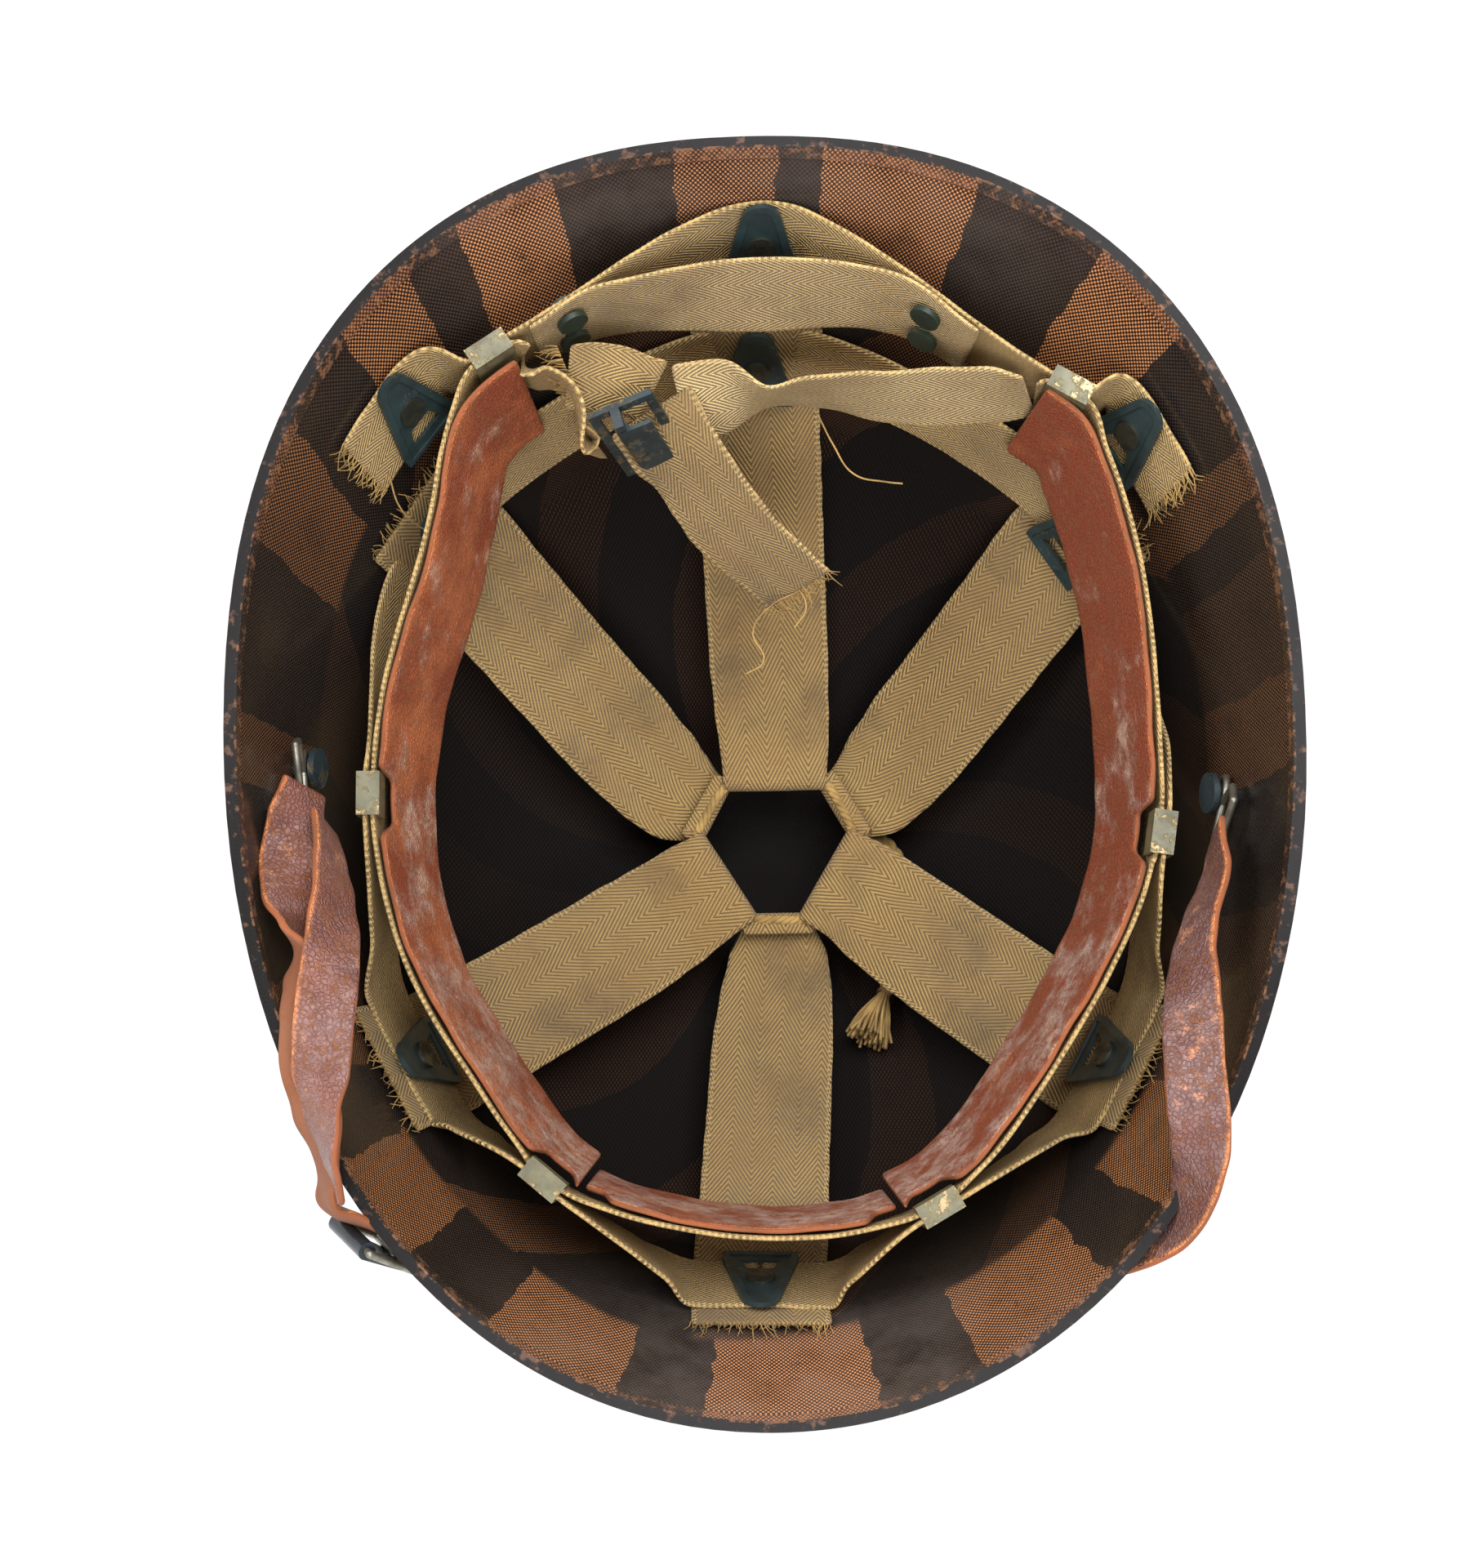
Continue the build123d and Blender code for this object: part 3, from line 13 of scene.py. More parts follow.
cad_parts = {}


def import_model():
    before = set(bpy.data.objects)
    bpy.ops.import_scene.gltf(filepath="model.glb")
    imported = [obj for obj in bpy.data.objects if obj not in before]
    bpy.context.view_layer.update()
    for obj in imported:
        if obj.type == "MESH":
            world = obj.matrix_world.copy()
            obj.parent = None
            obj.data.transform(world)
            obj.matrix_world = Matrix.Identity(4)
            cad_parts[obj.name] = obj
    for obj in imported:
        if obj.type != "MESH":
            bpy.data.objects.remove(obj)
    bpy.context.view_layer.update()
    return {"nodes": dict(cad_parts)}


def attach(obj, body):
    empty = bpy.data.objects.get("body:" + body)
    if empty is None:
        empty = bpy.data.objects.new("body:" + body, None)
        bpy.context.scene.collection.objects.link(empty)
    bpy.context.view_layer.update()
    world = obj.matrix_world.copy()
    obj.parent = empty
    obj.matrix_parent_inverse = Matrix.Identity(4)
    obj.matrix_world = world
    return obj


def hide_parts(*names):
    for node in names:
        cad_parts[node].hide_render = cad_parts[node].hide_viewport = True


MM = 0.001
UP = Vector((0.0, 0.0, 1.0))
Colour = tuple[float, float, float, float]
Row = tuple[float, ...]
log = logging.getLogger("helmet_liner")

# Steps in the noise from one strap, and one edge, to the next
WAVE_SEED_STEP = 7.3
RUB_SEED_STEP = 3.1
RUB_SIDE = 3.0

# Middle of each strap in mm, the direction of its width and, where it varies, its width
CROWN_STRAP_REAR = (
    (1, 118.5, 114.4, 1, -0.01, 0, 32), (0.9, 105.4, 86.3, 1, -0.01, 0, 32), (1.3, 96, 76, 1, -0.01, 0, 32),
    (2, 81.9, 62, 1, -0.01, 0, 32), (2.7, 66.3, 48.9, 1, -0.01, 0, 32), (3.4, 50.6, 38.6, 1, 0, 0, 32),
    (4, 37.3, 32.6, 1, 0, 0, 31), (4.5, 27.1, 30.5, 1, 0, 0, 29.5), (4.5, 18.1, 30.5, 1, 0, 0, 28),
)
CROWN_STRAP_LEFT_FRONT = (
    (-87.6, -59.2, 114.9, -0.46, 0.89, 0, 32), (-79.2, -54.9, 85.4, -0.46, 0.89, 0, 32),
    (-71.9, -49.9, 75.2, -0.47, 0.88, 0, 32), (-60.9, -42.5, 61.5, -0.48, 0.88, 0, 32),
    (-48.6, -34.2, 48.6, -0.49, 0.87, 0, 32), (-36.4, -26, 38.5, -0.51, 0.86, 0, 32),
    (-26, -19, 32.6, -0.52, 0.85, 0, 31), (-18.1, -13.6, 30.5, -0.53, 0.85, 0, 29.5),
    (-10.4, -8.8, 30.5, -0.53, 0.85, 0, 28),
)
CROWN_STRAP_RIGHT_FRONT = (
    (85.9, -62.5, 114.9, -0.49, -0.87, 0, 32), (77.6, -57.9, 85.4, -0.49, -0.87, 0, 32),
    (71.5, -52.6, 75.3, -0.49, -0.87, 0, 32), (62.4, -44.6, 61.5, -0.5, -0.87, 0, 32),
    (52.3, -35.7, 48.6, -0.51, -0.86, 0, 32), (42.2, -26.9, 38.5, -0.52, -0.86, 0, 32),
    (33.6, -19.4, 32.6, -0.52, -0.85, 0, 31), (27.1, -13.6, 30.5, -0.53, -0.85, 0, 29.5),
    (19.4, -8.8, 30.5, -0.53, -0.85, 0, 28),
)
CROWN_STRAP_LEFT_REAR = (
    (-81.5, 73.2, 114.6, 0.57, 0.82, 0, 32), (-71.6, 66.4, 86, 0.57, 0.82, 0, 32),
    (-65.7, 60.2, 74.8, 0.56, 0.83, 0, 32), (-56.8, 51, 59.7, 0.54, 0.84, 0, 32),
    (-46.9, 40.8, 45.5, 0.53, 0.85, 0, 32), (-37, 30.6, 34.3, 0.51, 0.86, 0, 32),
    (-28.6, 21.9, 27, 0.5, 0.87, 0, 30), (-22.2, 15.6, 23.6, 0.48, 0.87, 0, 27),
    (-13.9, 10.7, 23, 0.48, 0.87, 0, 20),
)
CROWN_STRAP_FRONT = (
    (-3.1, -118.1, 114.5, -1, 0.03, 0, 32), (-2.7, -105.4, 86.2, -1, 0.03, 0, 32),
    (-1.8, -96.4, 75, -1, 0.03, 0, 32), (-0.5, -82.8, 59.8, -1, 0.02, 0, 32),
    (0.9, -67.7, 45.5, -1, 0.02, 0, 32), (2.3, -52.6, 34.3, -1, 0.01, 0, 32),
    (3.6, -39.8, 27, -1, 0, 0, 30), (4.5, -30, 23.6, -1, 0, 0, 27), (4.5, -20.6, 23, -1, 0, 0, 20),
)
CROWN_STRAP_RIGHT_REAR = (
    (83.5, 69.9, 114.6, 0.54, -0.84, 0, 32), (73.6, 63.5, 86, 0.54, -0.84, 0, 32),
    (68.5, 57.7, 74.8, 0.53, -0.85, 0, 32), (60.9, 49.1, 59.7, 0.52, -0.85, 0, 32),
    (52.4, 39.4, 45.4, 0.51, -0.86, 0, 32), (43.9, 29.8, 34.3, 0.5, -0.86, 0, 32),
    (36.7, 21.6, 27, 0.49, -0.87, 0, 30), (31.2, 15.6, 23.6, 0.48, -0.87, 0, 27),
    (22.9, 10.7, 23, 0.48, -0.87, 0, 20),
)
SUSPENSION_BAND = (
    (-2.4, -109.9, 99.5, -0.01, -0.41, 0.91), (14.1, -110.5, 99.5, -0.01, -0.41, 0.91),
    (19.7, -106, 104.2, 0, -0.12, 0.99),
    (32.9, -95.7, 115.1, 0, 0, 1), (42.3, -90.4, 115.1, 0, 0, 1),
    (63, -79, 103.9, 0.06, -0.04, 1), (71.9, -74.2, 99.1, 0.27, -0.15, 0.95),
    (88.5, -44.5, 99.1, 0.27, -0.15, 0.95),
    (89.3, -30, 107.6, 0.04, -0.02, 1), (90.1, -15.3, 117, 0, 0, 1), (91.9, -4.6, 117, 0, 0, 1),
    (93.3, 17.2, 103.2, 0, 0, 1), (86.2, 51.4, 99.4, 0.32, 0.21, 0.92),
    (67.8, 80.1, 99.4, 0.32, 0.21, 0.92), (17.9, 109.9, 99.6, 0, 0.42, 0.91),
    (-16, 110.3, 99.6, 0, 0.42, 0.91), (-65.4, 82.7, 99.4, -0.32, 0.22, 0.92),
    (-84.7, 54.7, 99.4, -0.32, 0.22, 0.92), (-90.4, 8.2, 117, 0, 0, 1), (-90.5, -2.6, 117, 0, 0, 1),
    (-90, -26, 107.2, -0.04, -0.02, 1), (-89.7, -41.2, 99.1, -0.27, -0.14, 0.95),
    (-74, -71.3, 99.1, -0.27, -0.14, 0.95), (-69.4, -73.9, 103.1, -0.06, -0.04, 1),
    (-55.7, -81.6, 115.1, 0, 0, 1), (-47.5, -88.7, 115.1, 0, 0, 1),
    (-26.8, -104.2, 103.4, 0, -0.12, 0.99),
    (-19.9, -109.3, 99.5, -0.01, -0.41, 0.91), (-3.4, -109.9, 99.5, -0.01, -0.41, 0.91),
)
NAPE_STRAP = (
    (-50.2, 105.5, 133.6, 0, 0.04, 1), (-34.6, 113.1, 134.3, 0, 0.18, 0.98),
    (1.1, 116.2, 134, 0.01, 0.42, 0.91), (31.5, 113.5, 134.7, 0, 0.26, 0.96),
    (49.8, 101.9, 133.8, 0, 0.12, 0.99),
)
NAPE_BAND = (
    (-89.6, 76.2, 135.6, -0.31, 0.24, 0.92), (-85.5, 83.3, 134.9, -0.31, 0.24, 0.92),
    (-74.2, 97.8, 134.9, -0.31, 0.24, 0.92), (-64.9, 98.7, 133.4, 0, 0, 1), (-55.9, 104.6, 133.4, 0, 0, 1),
    (-7.1, 128.4, 135, 0.01, 0.42, 0.91), (11.3, 128.1, 135, 0.01, 0.42, 0.91),
    (66.8, 93.3, 133.1, 0, 0, 1), (76.1, 87.8, 133.1, 0, 0, 1), (81.4, 89.2, 134.9, 0.31, 0.19, 0.93),
    (91.1, 73.5, 134.9, 0.31, 0.19, 0.93), (93.9, 67.2, 135.4, 0.31, 0.19, 0.93),
)
HEADBAND_LEATHER_LEFT = (
    (-51.6, 94.6, 124.6, -0.08, 0.26, 0.96), (-57, 90.6, 124.6, -0.2, 0.19, 0.96),
    (-61.6, 84.8, 124.2, -0.29, 0.11, 0.95), (-64, 76.8, 122.1, -0.31, 0.07, 0.95),
    (-65.9, 67.7, 120.2, -0.31, 0.06, 0.95), (-68.3, 58, 118.4, -0.3, 0.09, 0.95),
    (-71.2, 48.6, 116.8, -0.3, 0.1, 0.95), (-74.3, 39.6, 115.3, -0.3, 0.1, 0.95),
    (-77, 30.8, 113.8, -0.3, 0.08, 0.95), (-79.1, 22.1, 112.5, -0.31, 0.06, 0.95),
    (-80.5, 13.2, 111.2, -0.31, 0.04, 0.95), (-81.1, 4.3, 110.2, -0.31, 0.01, 0.95),
    (-80.9, -4.6, 109.5, -0.31, -0.02, 0.95), (-79.8, -13.4, 109.1, -0.31, -0.05, 0.95),
    (-78, -22.2, 108.9, -0.3, -0.08, 0.95), (-75.3, -30.6, 108.9, -0.29, -0.11, 0.95),
    (-71.7, -38.7, 109.1, -0.28, -0.14, 0.95), (-67.3, -46.6, 109.2, -0.27, -0.16, 0.95),
    (-62.3, -54.6, 109.2, -0.26, -0.17, 0.95), (-57, -62.7, 109, -0.26, -0.17, 0.95),
    (-51.9, -70.6, 108.6, -0.26, -0.18, 0.95), (-46.7, -76.9, 108.1, -0.22, -0.22, 0.95),
    (-40.7, -81.4, 107.9, -0.15, -0.28, 0.95),
)
HEADBAND_LEATHER_FRONT = (
    (-39.9, -81.8, 107.9, -0.14, -0.28, 0.95), (-37.1, -83.1, 107.9, -0.12, -0.29, 0.95),
    (-34, -84.3, 107.9, -0.11, -0.29, 0.95), (-30.8, -85.4, 108, -0.09, -0.3, 0.95),
    (-27.5, -86.4, 108, -0.08, -0.3, 0.95), (-24.1, -87.3, 108, -0.08, -0.3, 0.95),
    (-20.7, -88.1, 108.1, -0.07, -0.31, 0.95), (-17.3, -88.8, 108.1, -0.06, -0.31, 0.95),
    (-13.9, -89.4, 108.1, -0.05, -0.31, 0.95), (-10.4, -89.9, 108, -0.04, -0.31, 0.95),
    (-7, -90.3, 108, -0.03, -0.31, 0.95), (-3.5, -90.6, 108, -0.02, -0.31, 0.95),
    (0, -90.8, 108, -0.01, -0.31, 0.95), (3.5, -90.9, 108, 0, -0.31, 0.95),
    (6.9, -90.9, 108, 0.01, -0.31, 0.95), (10.3, -90.7, 108, 0.02, -0.31, 0.95),
    (13.7, -90.5, 108, 0.03, -0.31, 0.95), (17, -90, 108, 0.05, -0.31, 0.95),
    (20.3, -89.4, 108, 0.06, -0.31, 0.95), (23.4, -88.7, 108, 0.08, -0.3, 0.95),
    (26.5, -87.7, 108, 0.1, -0.3, 0.95),
)
HEADBAND_LEATHER_RIGHT = (
    (27.3, -87.5, 108, 0.11, -0.29, 0.95), (34.6, -84, 108, 0.17, -0.26, 0.95),
    (41, -78.9, 108.2, 0.22, -0.23, 0.95), (46.9, -72.4, 108.5, 0.24, -0.2, 0.95),
    (52.4, -65, 108.8, 0.26, -0.18, 0.95), (57.8, -57.1, 109.1, 0.26, -0.18, 0.95),
    (63.2, -49.1, 109.3, 0.26, -0.17, 0.95), (68.2, -41.1, 109.4, 0.27, -0.16, 0.95),
    (72.7, -33, 109.5, 0.28, -0.15, 0.95), (76.7, -24.7, 109.5, 0.29, -0.12, 0.95),
    (79.8, -16.3, 109.7, 0.3, -0.09, 0.95), (81.8, -8, 110, 0.31, -0.05, 0.95),
    (82.6, 0.7, 110.7, 0.31, -0.01, 0.95), (82.5, 9.9, 111.7, 0.31, 0.01, 0.95),
    (82.2, 19.5, 113.1, 0.31, 0.01, 0.95), (81.6, 28.8, 114.6, 0.31, 0.02, 0.95),
    (80.7, 38, 116.3, 0.31, 0.04, 0.95), (79.4, 47.1, 118.2, 0.31, 0.05, 0.95),
    (77.5, 55.9, 120.1, 0.3, 0.08, 0.95), (75, 64.6, 121.9, 0.3, 0.1, 0.95),
    (72, 73.3, 123.8, 0.29, 0.11, 0.95), (69.2, 80.6, 124.8, 0.22, 0.18, 0.96),
    (62.6, 86.2, 125.4, 0.06, 0.26, 0.96),
)
HEADBAND_LEFT_WEB = (
    (-53.3, 102, 132.3, 0, 0, 1), (-53.4, 100.6, 131.3, 0, 0, 1), (-44.2, 96.5, 127, 0, 0, 1),
    (-39.1, 86.8, 116.8, -0.27, 0.21, 0.94), (-38, 87.2, 117.1, -0.27, 0.21, 0.94),
)
RIGHT_WEB = (
    (63.2, 91.2, 132.6, 0, 0.1, 1), (55, 92.4, 130.3, -0.05, 0.3, 0.95), (44, 93, 127.6, -0.05, 0.36, 0.93),
    (30, 94, 125.1, -0.04, 0.26, 0.96), (14.5, 96.6, 121.4, 0, 0.02, 1), (4, 96.6, 119.6, 0.1, -0.12, 1),
    (-8, 96.6, 119.4, -0.05, 0.62, 0.78), (-17.5, 93.6, 120.6, -0.3, 0.72, 0.62),
)
TAIL_WEB = (
    (-24.5, 92.5, 123.6, 0.6, 0.78, 0.2), (-20.6, 86.6, 119.6, 0.78, 0.55, 0.3),
    (-16, 81.2, 115.4, 0.74, 0.36, 0.56), (-11.4, 75, 110.2, 0.7, 0.34, 0.62),
    (-3.6, 66.4, 102.6, 0.7, 0.34, 0.62),
    (4, 60.8, 97.2, 0.7, 0.26, 0.66), (10.4, 55.6, 92.6, 0.66, 0.3, 0.68),
)
LEFT_FLAP = (
    (-23.4, 95.6, 127.6, 0.5, -0.62, -0.6), (-29, 97.4, 129.4, 0.42, -0.65, -0.63),
    (-36, 98, 131.2, 0.36, -0.66, -0.66), (-43.2, 97.6, 133.4, 0.3, -0.66, -0.68),
)
CHINSTRAP_LONG = (
    (99.3, -12.5, 139.9, 0.16, 0.7, 0.69), (99.1, -13.6, 141.2, 0.16, 0.7, 0.69),
    (97.3, -22, 146, 0.26, 0, 0.97), (93.5, -30.2, 150.2, 0.34, 0, 0.94),
    (90.5, -38.5, 154.4, 0.5, -0.05, 0.87), (89, -46.8, 158.7, 0.72, -0.15, 0.68),
    (88, -55, 162.4, 0.9, -0.24, 0.36), (87.6, -63.2, 165, 0.93, -0.34, 0.14),
    (87.8, -71.5, 165.8, 0.9, -0.42, 0.07), (88, -79.5, 164.6, 0.8, -0.54, 0.26),
    (87.2, -87.5, 160.8, 0.55, -0.49, 0.68), (83.4, -96.8, 153.6, 0.24, -0.26, 0.94),
    (65.1, -106.6, 130.7, 0.21, -0.23, 0.95), (49.7, -117.2, 128.8, 0.18, -0.3, 0.94),
    (32.5, -124.9, 127.4, 0.13, -0.36, 0.92), (14.1, -129.2, 126.5, 0.06, -0.39, 0.92),
    (-4.7, -130.1, 126.4, -0.02, -0.4, 0.92), (-23.4, -127.5, 126.9, -0.1, -0.38, 0.92),
    (-41.3, -121.4, 128, -0.16, -0.33, 0.93), (-57.6, -112.2, 129.7, -0.2, -0.27, 0.94),
    (-72, -100.5, 131.8, -0.21, -0.2, 0.96), (-92.2, -88.5, 156.5, 0.19, 0.18, 0.97),
    (-93.2, -79, 161.5, 0.38, 0.3, 0.87), (-94.5, -69, 164.4, 0.74, 0.36, 0.56),
    (-96, -58, 165.6, 0.95, 0.28, 0.12), (-96.5, -48, 165.4, 0.94, 0.2, 0.28),
    (-98, -39.5, 163.6, 0.72, 0.1, 0.69), (-100.2, -31.5, 159.4, -0.2, 0, 0.98),
    (-102.3, -23.5, 155.5, -0.8, 0, 0.6), (-103.2, -14.5, 151, -0.98, 0.1, 0.17),
    (-102.4, -5, 147.4, -0.75, 0.6, 0.28), (-100.8, 2.4, 145.4, -0.2, 0.93, 0.32),
)
CHINSTRAP_RETURN = (
    (-96.5, -5.5, 145.5, -0.12, 0, 0.99), (-94.2, -14, 150.5, -0.25, 0, 0.97),
    (-92.5, -22.1, 156.5, -0.42, -0.03, 0.91), (-91.5, -33, 163.5, -0.74, -0.12, 0.66),
    (-91.7, -44.3, 169, -0.97, -0.2, 0.15), (-92.2, -52, 170.5, -0.97, -0.25, 0),
    (-92.8, -60, 169.8, -0.93, -0.3, -0.2), (-93, -69, 168, -0.58, -0.3, -0.75),
    (-92.2, -78, 164.6, -0.25, -0.25, -0.93), (-90.8, -85.5, 160.4, -0.15, -0.2, -0.97),
)
HEADBAND_WEBBING = (
    (-53.2, 102.8, 132.9), (-54.9, 103.2, 133.4), (-64.0, 97.3, 133.4), (-68.1, 89.1, 131.6),
    (-71.3, 79.2, 129.3), (-73.4, 69.1, 127.2), (-76.0, 58.9, 125.2), (-79.2, 49.0, 123.5),
    (-82.5, 39.0, 121.8), (-85.4, 28.9, 120.3), (-87.4, 18.6, 118.8), (-88.7, 8.1, 117.0),
    (-88.8, -2.7, 117.0), (-87.6, -13.0, 116.2), (-85.5, -23.4, 116.0), (-82.3, -33.6, 116.0),
    (-78.0, -43.2, 116.1), (-72.7, -52.5, 116.3), (-66.9, -61.4, 116.2), (-61.2, -70.3, 115.9),
    (-55.1, -79.0, 115.3), (-54.6, -80.3, 115.1), (-46.4, -87.4, 115.1), (-37.9, -91.0, 115.0),
    (-27.8, -94.2, 115.1), (-17.4, -96.5, 115.1), (-6.9, -98.0, 115.1), (3.7, -98.5, 115.1),
    (14.3, -98.1, 115.1), (24.8, -96.2, 115.1), (32.0, -94.2, 115.1), (41.5, -88.9, 115.1),
    (43.6, -86.8, 115.2), (51.1, -79.3, 115.5), (57.6, -70.9, 115.8), (63.6, -62.2, 116.1),
    (69.5, -53.3, 116.3), (75.1, -44.3, 116.4), (80.2, -35.0, 116.5), (84.7, -25.4, 116.6),
    (88.1, -15.3, 116.8), (88.4, -15.0, 117.0), (90.2, -4.3, 117.0), (90.3, 5.7, 118.3),
    (90.0, 16.2, 119.6), (89.4, 26.7, 121.2), (88.5, 37.1, 123.0), (87.1, 47.5, 125.0), (84.9, 57.7, 127.1),
    (82.0, 67.7, 129.1), (78.5, 77.5, 131.1), (75.2, 86.3, 133.1), (65.9, 91.8, 133.1), (64.1, 91.0, 132.9),
)

# Crown cord tail in mm, from the knot to the tassel
CORD_TAIL = (
    (27.2, 3.6, 25.2), (29.6, 4.6, 17.0), (36.5, 1.0, 13.6), (40.5, -9.0, 15.6),
    (39.5, -20.0, 18.6), (36.5, -30.5, 21.4), (32.5, -40.0, 24.2),
)

# Loose threads in mm
LOOSE_THREADS = (
    ("headband", ((10.4, 55.6, 92.6), (2.6, 51.7, 91), (-1.2, 46.3, 88.5), (1.3, 39.4, 86.5),
                  (-3, 36.5, 85.5))),
    ("helmet", ((15, 93, 116), (18.6, 86.2, 113.5), (23.3, 79.4, 112), (31.1, 77.5, 111), (35, 77, 111))),
    ("helmet", ((-85, 77, 128), (-83, 70.5, 120), (-78.5, 67, 116), (-72.5, 65.5, 114.5))),
    ("headband", ((7, 59, 95), (12, 52, 91), (9, 47, 89))),
)

# Tone of the laminate's cloth strips round the rim: share of a turn from +X, tone from dark to pale
RIM_STRIPS = (
    (0.0, 0.55), (0.024, 0.3), (0.062, 0.12), (0.075, 0.5), (0.092, 0.1), (0.126, 0.85),
    (0.158, 0.12), (0.193, 0.9), (0.227, 0.12), (0.240, 0.8), (0.268, 0.14), (0.299, 0.9),
    (0.327, 0.15), (0.343, 0.75), (0.365, 0.12), (0.391, 0.6), (0.425, 0.14), (0.476, 0.6),
    (0.499, 0.1), (0.56, 0.55), (0.588, 0.12), (0.611, 0.8), (0.643, 0.12), (0.671, 0.9),
    (0.705, 0.1), (0.728, 1.0), (0.777, 0.12), (0.804, 0.85), (0.842, 0.1), (0.861, 0.8),
    (0.897, 0.3), (0.955, 0.1),
)
# The same for the strips deep in the bowl
DEEP_STRIPS = (
    (0.0, 0.1), (0.03, 0.45), (0.07, 0.08), (0.11, 0.3), (0.15, 0.06), (0.2, 0.4), (0.235, 0.08),
    (0.29, 0.5), (0.33, 0.1), (0.38, 0.45), (0.42, 0.12), (0.46, 0.4), (0.5, 0.08), (0.55, 0.3),
    (0.6, 0.08), (0.66, 0.45), (0.7, 0.1), (0.76, 0.5), (0.79, 0.08), (0.85, 0.4), (0.89, 0.1),
    (0.94, 0.3), (0.97, 0.08),
)


class Side(Enum):
    """Which way a strap's finished face looks, along its row order turned by its width."""

    FRONT = 1
    BACK = -1


class Lay(Enum):
    """How three strands make a cord: a strand's share of its size, its pitch, and its widening."""

    TWISTED = (0.52, 2.2, 1.0)
    BRAIDED = (0.56, 2.6, 1.35)


class Graph:
    """Short way of adding and joining nodes in one node tree."""

    def __init__(self, tree: bpy.types.NodeTree) -> None:
        """Keep the tree that the nodes go into."""
        self.tree = tree

    def add(self, kind: str, **settings: object) -> bpy.types.Node:
        """Add a node of a kind and set its properties.

        Args:
            kind: The node's type name.
            **settings: Properties to set on it.

        Returns:
            The new node.
        """
        node = self.tree.nodes.new(kind)
        for key, value in settings.items():
            setattr(node, key, value)
        return node

    def put(self, socket: bpy.types.NodeSocket, value: object) -> None:
        """Join a socket's input to another socket, or set its value.

        Args:
            socket: The input.
            value: Another node's output, or a value.
        """
        if isinstance(value, bpy.types.NodeSocket):
            self.tree.links.new(value, socket)
        else:
            socket.default_value = value

    def math(self, operation: str, first: object, second: object = 0.0, clamp: bool = False,
             third: object = 0.0) -> bpy.types.NodeSocket:
        """Work out one number from others.

        Args:
            operation: The Math node's operation.
            first: Its first input.
            second: Its second input.
            clamp: Whether the result stays within 0 and 1.
            third: Its third input.

        Returns:
            The result's socket.
        """
        node = self.add("ShaderNodeMath", operation=operation, use_clamp=clamp)
        for socket, value in zip(node.inputs, (first, second, third)):
            self.put(socket, value)
        return node.outputs[0]

    def times(self, first: object, second: object, clamp: bool = False) -> bpy.types.NodeSocket:
        """Product of two numbers, kept within 0 and 1 if asked."""
        return self.math("MULTIPLY", first, second, clamp)

    def line(self, value: object, slope: object, start: object) -> bpy.types.NodeSocket:
        """A value times a slope, plus a start."""
        return self.math("MULTIPLY_ADD", value, slope, third=start)

    def mix(self, share: object, first: object, second: object) -> bpy.types.NodeSocket:
        """Colour between two colours.

        Args:
            share: Share of the second one.
            first: Colour at a share of 0.
            second: Colour at a share of 1.

        Returns:
            The mixed colour's socket.
        """
        node = self.add("ShaderNodeMix", data_type="RGBA")
        self.put(node.inputs[0], share)
        self.put(node.inputs[6], first)
        self.put(node.inputs[7], second)
        return node.outputs[2]

    def noise(self, vector: object, scale: float, detail: float = 4.0,
              roughness: float = 0.55) -> bpy.types.NodeSocket:
        """Cloudy number over the surface.

        Args:
            vector: Coordinates.
            scale: Size of the clouds, larger being finer.
            detail: Number of finer layers.
            roughness: Weight of the finer layers.

        Returns:
            The number's socket.
        """
        node = self.add("ShaderNodeTexNoise")
        self.put(node.inputs["Vector"], vector)
        node.inputs["Scale"].default_value = scale
        node.inputs["Detail"].default_value = detail
        node.inputs["Roughness"].default_value = roughness
        return node.outputs[0]

    def between(self, value: object, low: float, high: float) -> bpy.types.NodeSocket:
        """Smooth rise from 0 to 1 as a value goes from low to high.

        Args:
            value: The value.
            low: Where the rise starts.
            high: Where it ends.

        Returns:
            The result's socket.
        """
        node = self.add("ShaderNodeMapRange", interpolation_type="SMOOTHSTEP")
        self.put(node.inputs[0], value)
        node.inputs[1].default_value = low
        node.inputs[2].default_value = high
        return node.outputs[0]

    def scaled(self, vector: object, factor: float, shift: tuple[float, float, float] = (0.0, 0.0, 0.0),
               ) -> bpy.types.NodeSocket:
        """Coordinates times a factor, then shifted.

        Args:
            vector: Coordinates.
            factor: The factor for all three.
            shift: What is added afterwards.

        Returns:
            The new coordinates' socket.
        """
        node = self.add("ShaderNodeMapping")
        self.put(node.inputs[0], vector)
        node.inputs["Location"].default_value = shift
        node.inputs["Scale"].default_value = (factor, factor, factor)
        return node.outputs[0]

    def parts(self, vector: object) -> list[bpy.types.NodeSocket]:
        """The X, Y and Z of a vector."""
        node = self.add("ShaderNodeSeparateXYZ")
        self.put(node.inputs[0], vector)
        return list(node.outputs)

    def steps(self, value: object, stops: Sequence[tuple[float, float]]) -> bpy.types.NodeSocket:
        """Number that jumps at given places.

        Args:
            value: Place from 0 to 1.
            stops: Places and the number from each place on.

        Returns:
            The number's socket.
        """
        node = self.add("ShaderNodeValToRGB")
        ramp = node.color_ramp
        ramp.interpolation = "CONSTANT"
        while len(ramp.elements) < len(stops):
            ramp.elements.new(0.5)
        for element, (place, _) in zip(ramp.elements, stops):
            element.position = place
        for element, (place, tone) in zip(ramp.elements, stops):
            element.color = (tone, tone, tone, 1.0)
        self.put(node.inputs[0], value)
        return node.outputs[0]


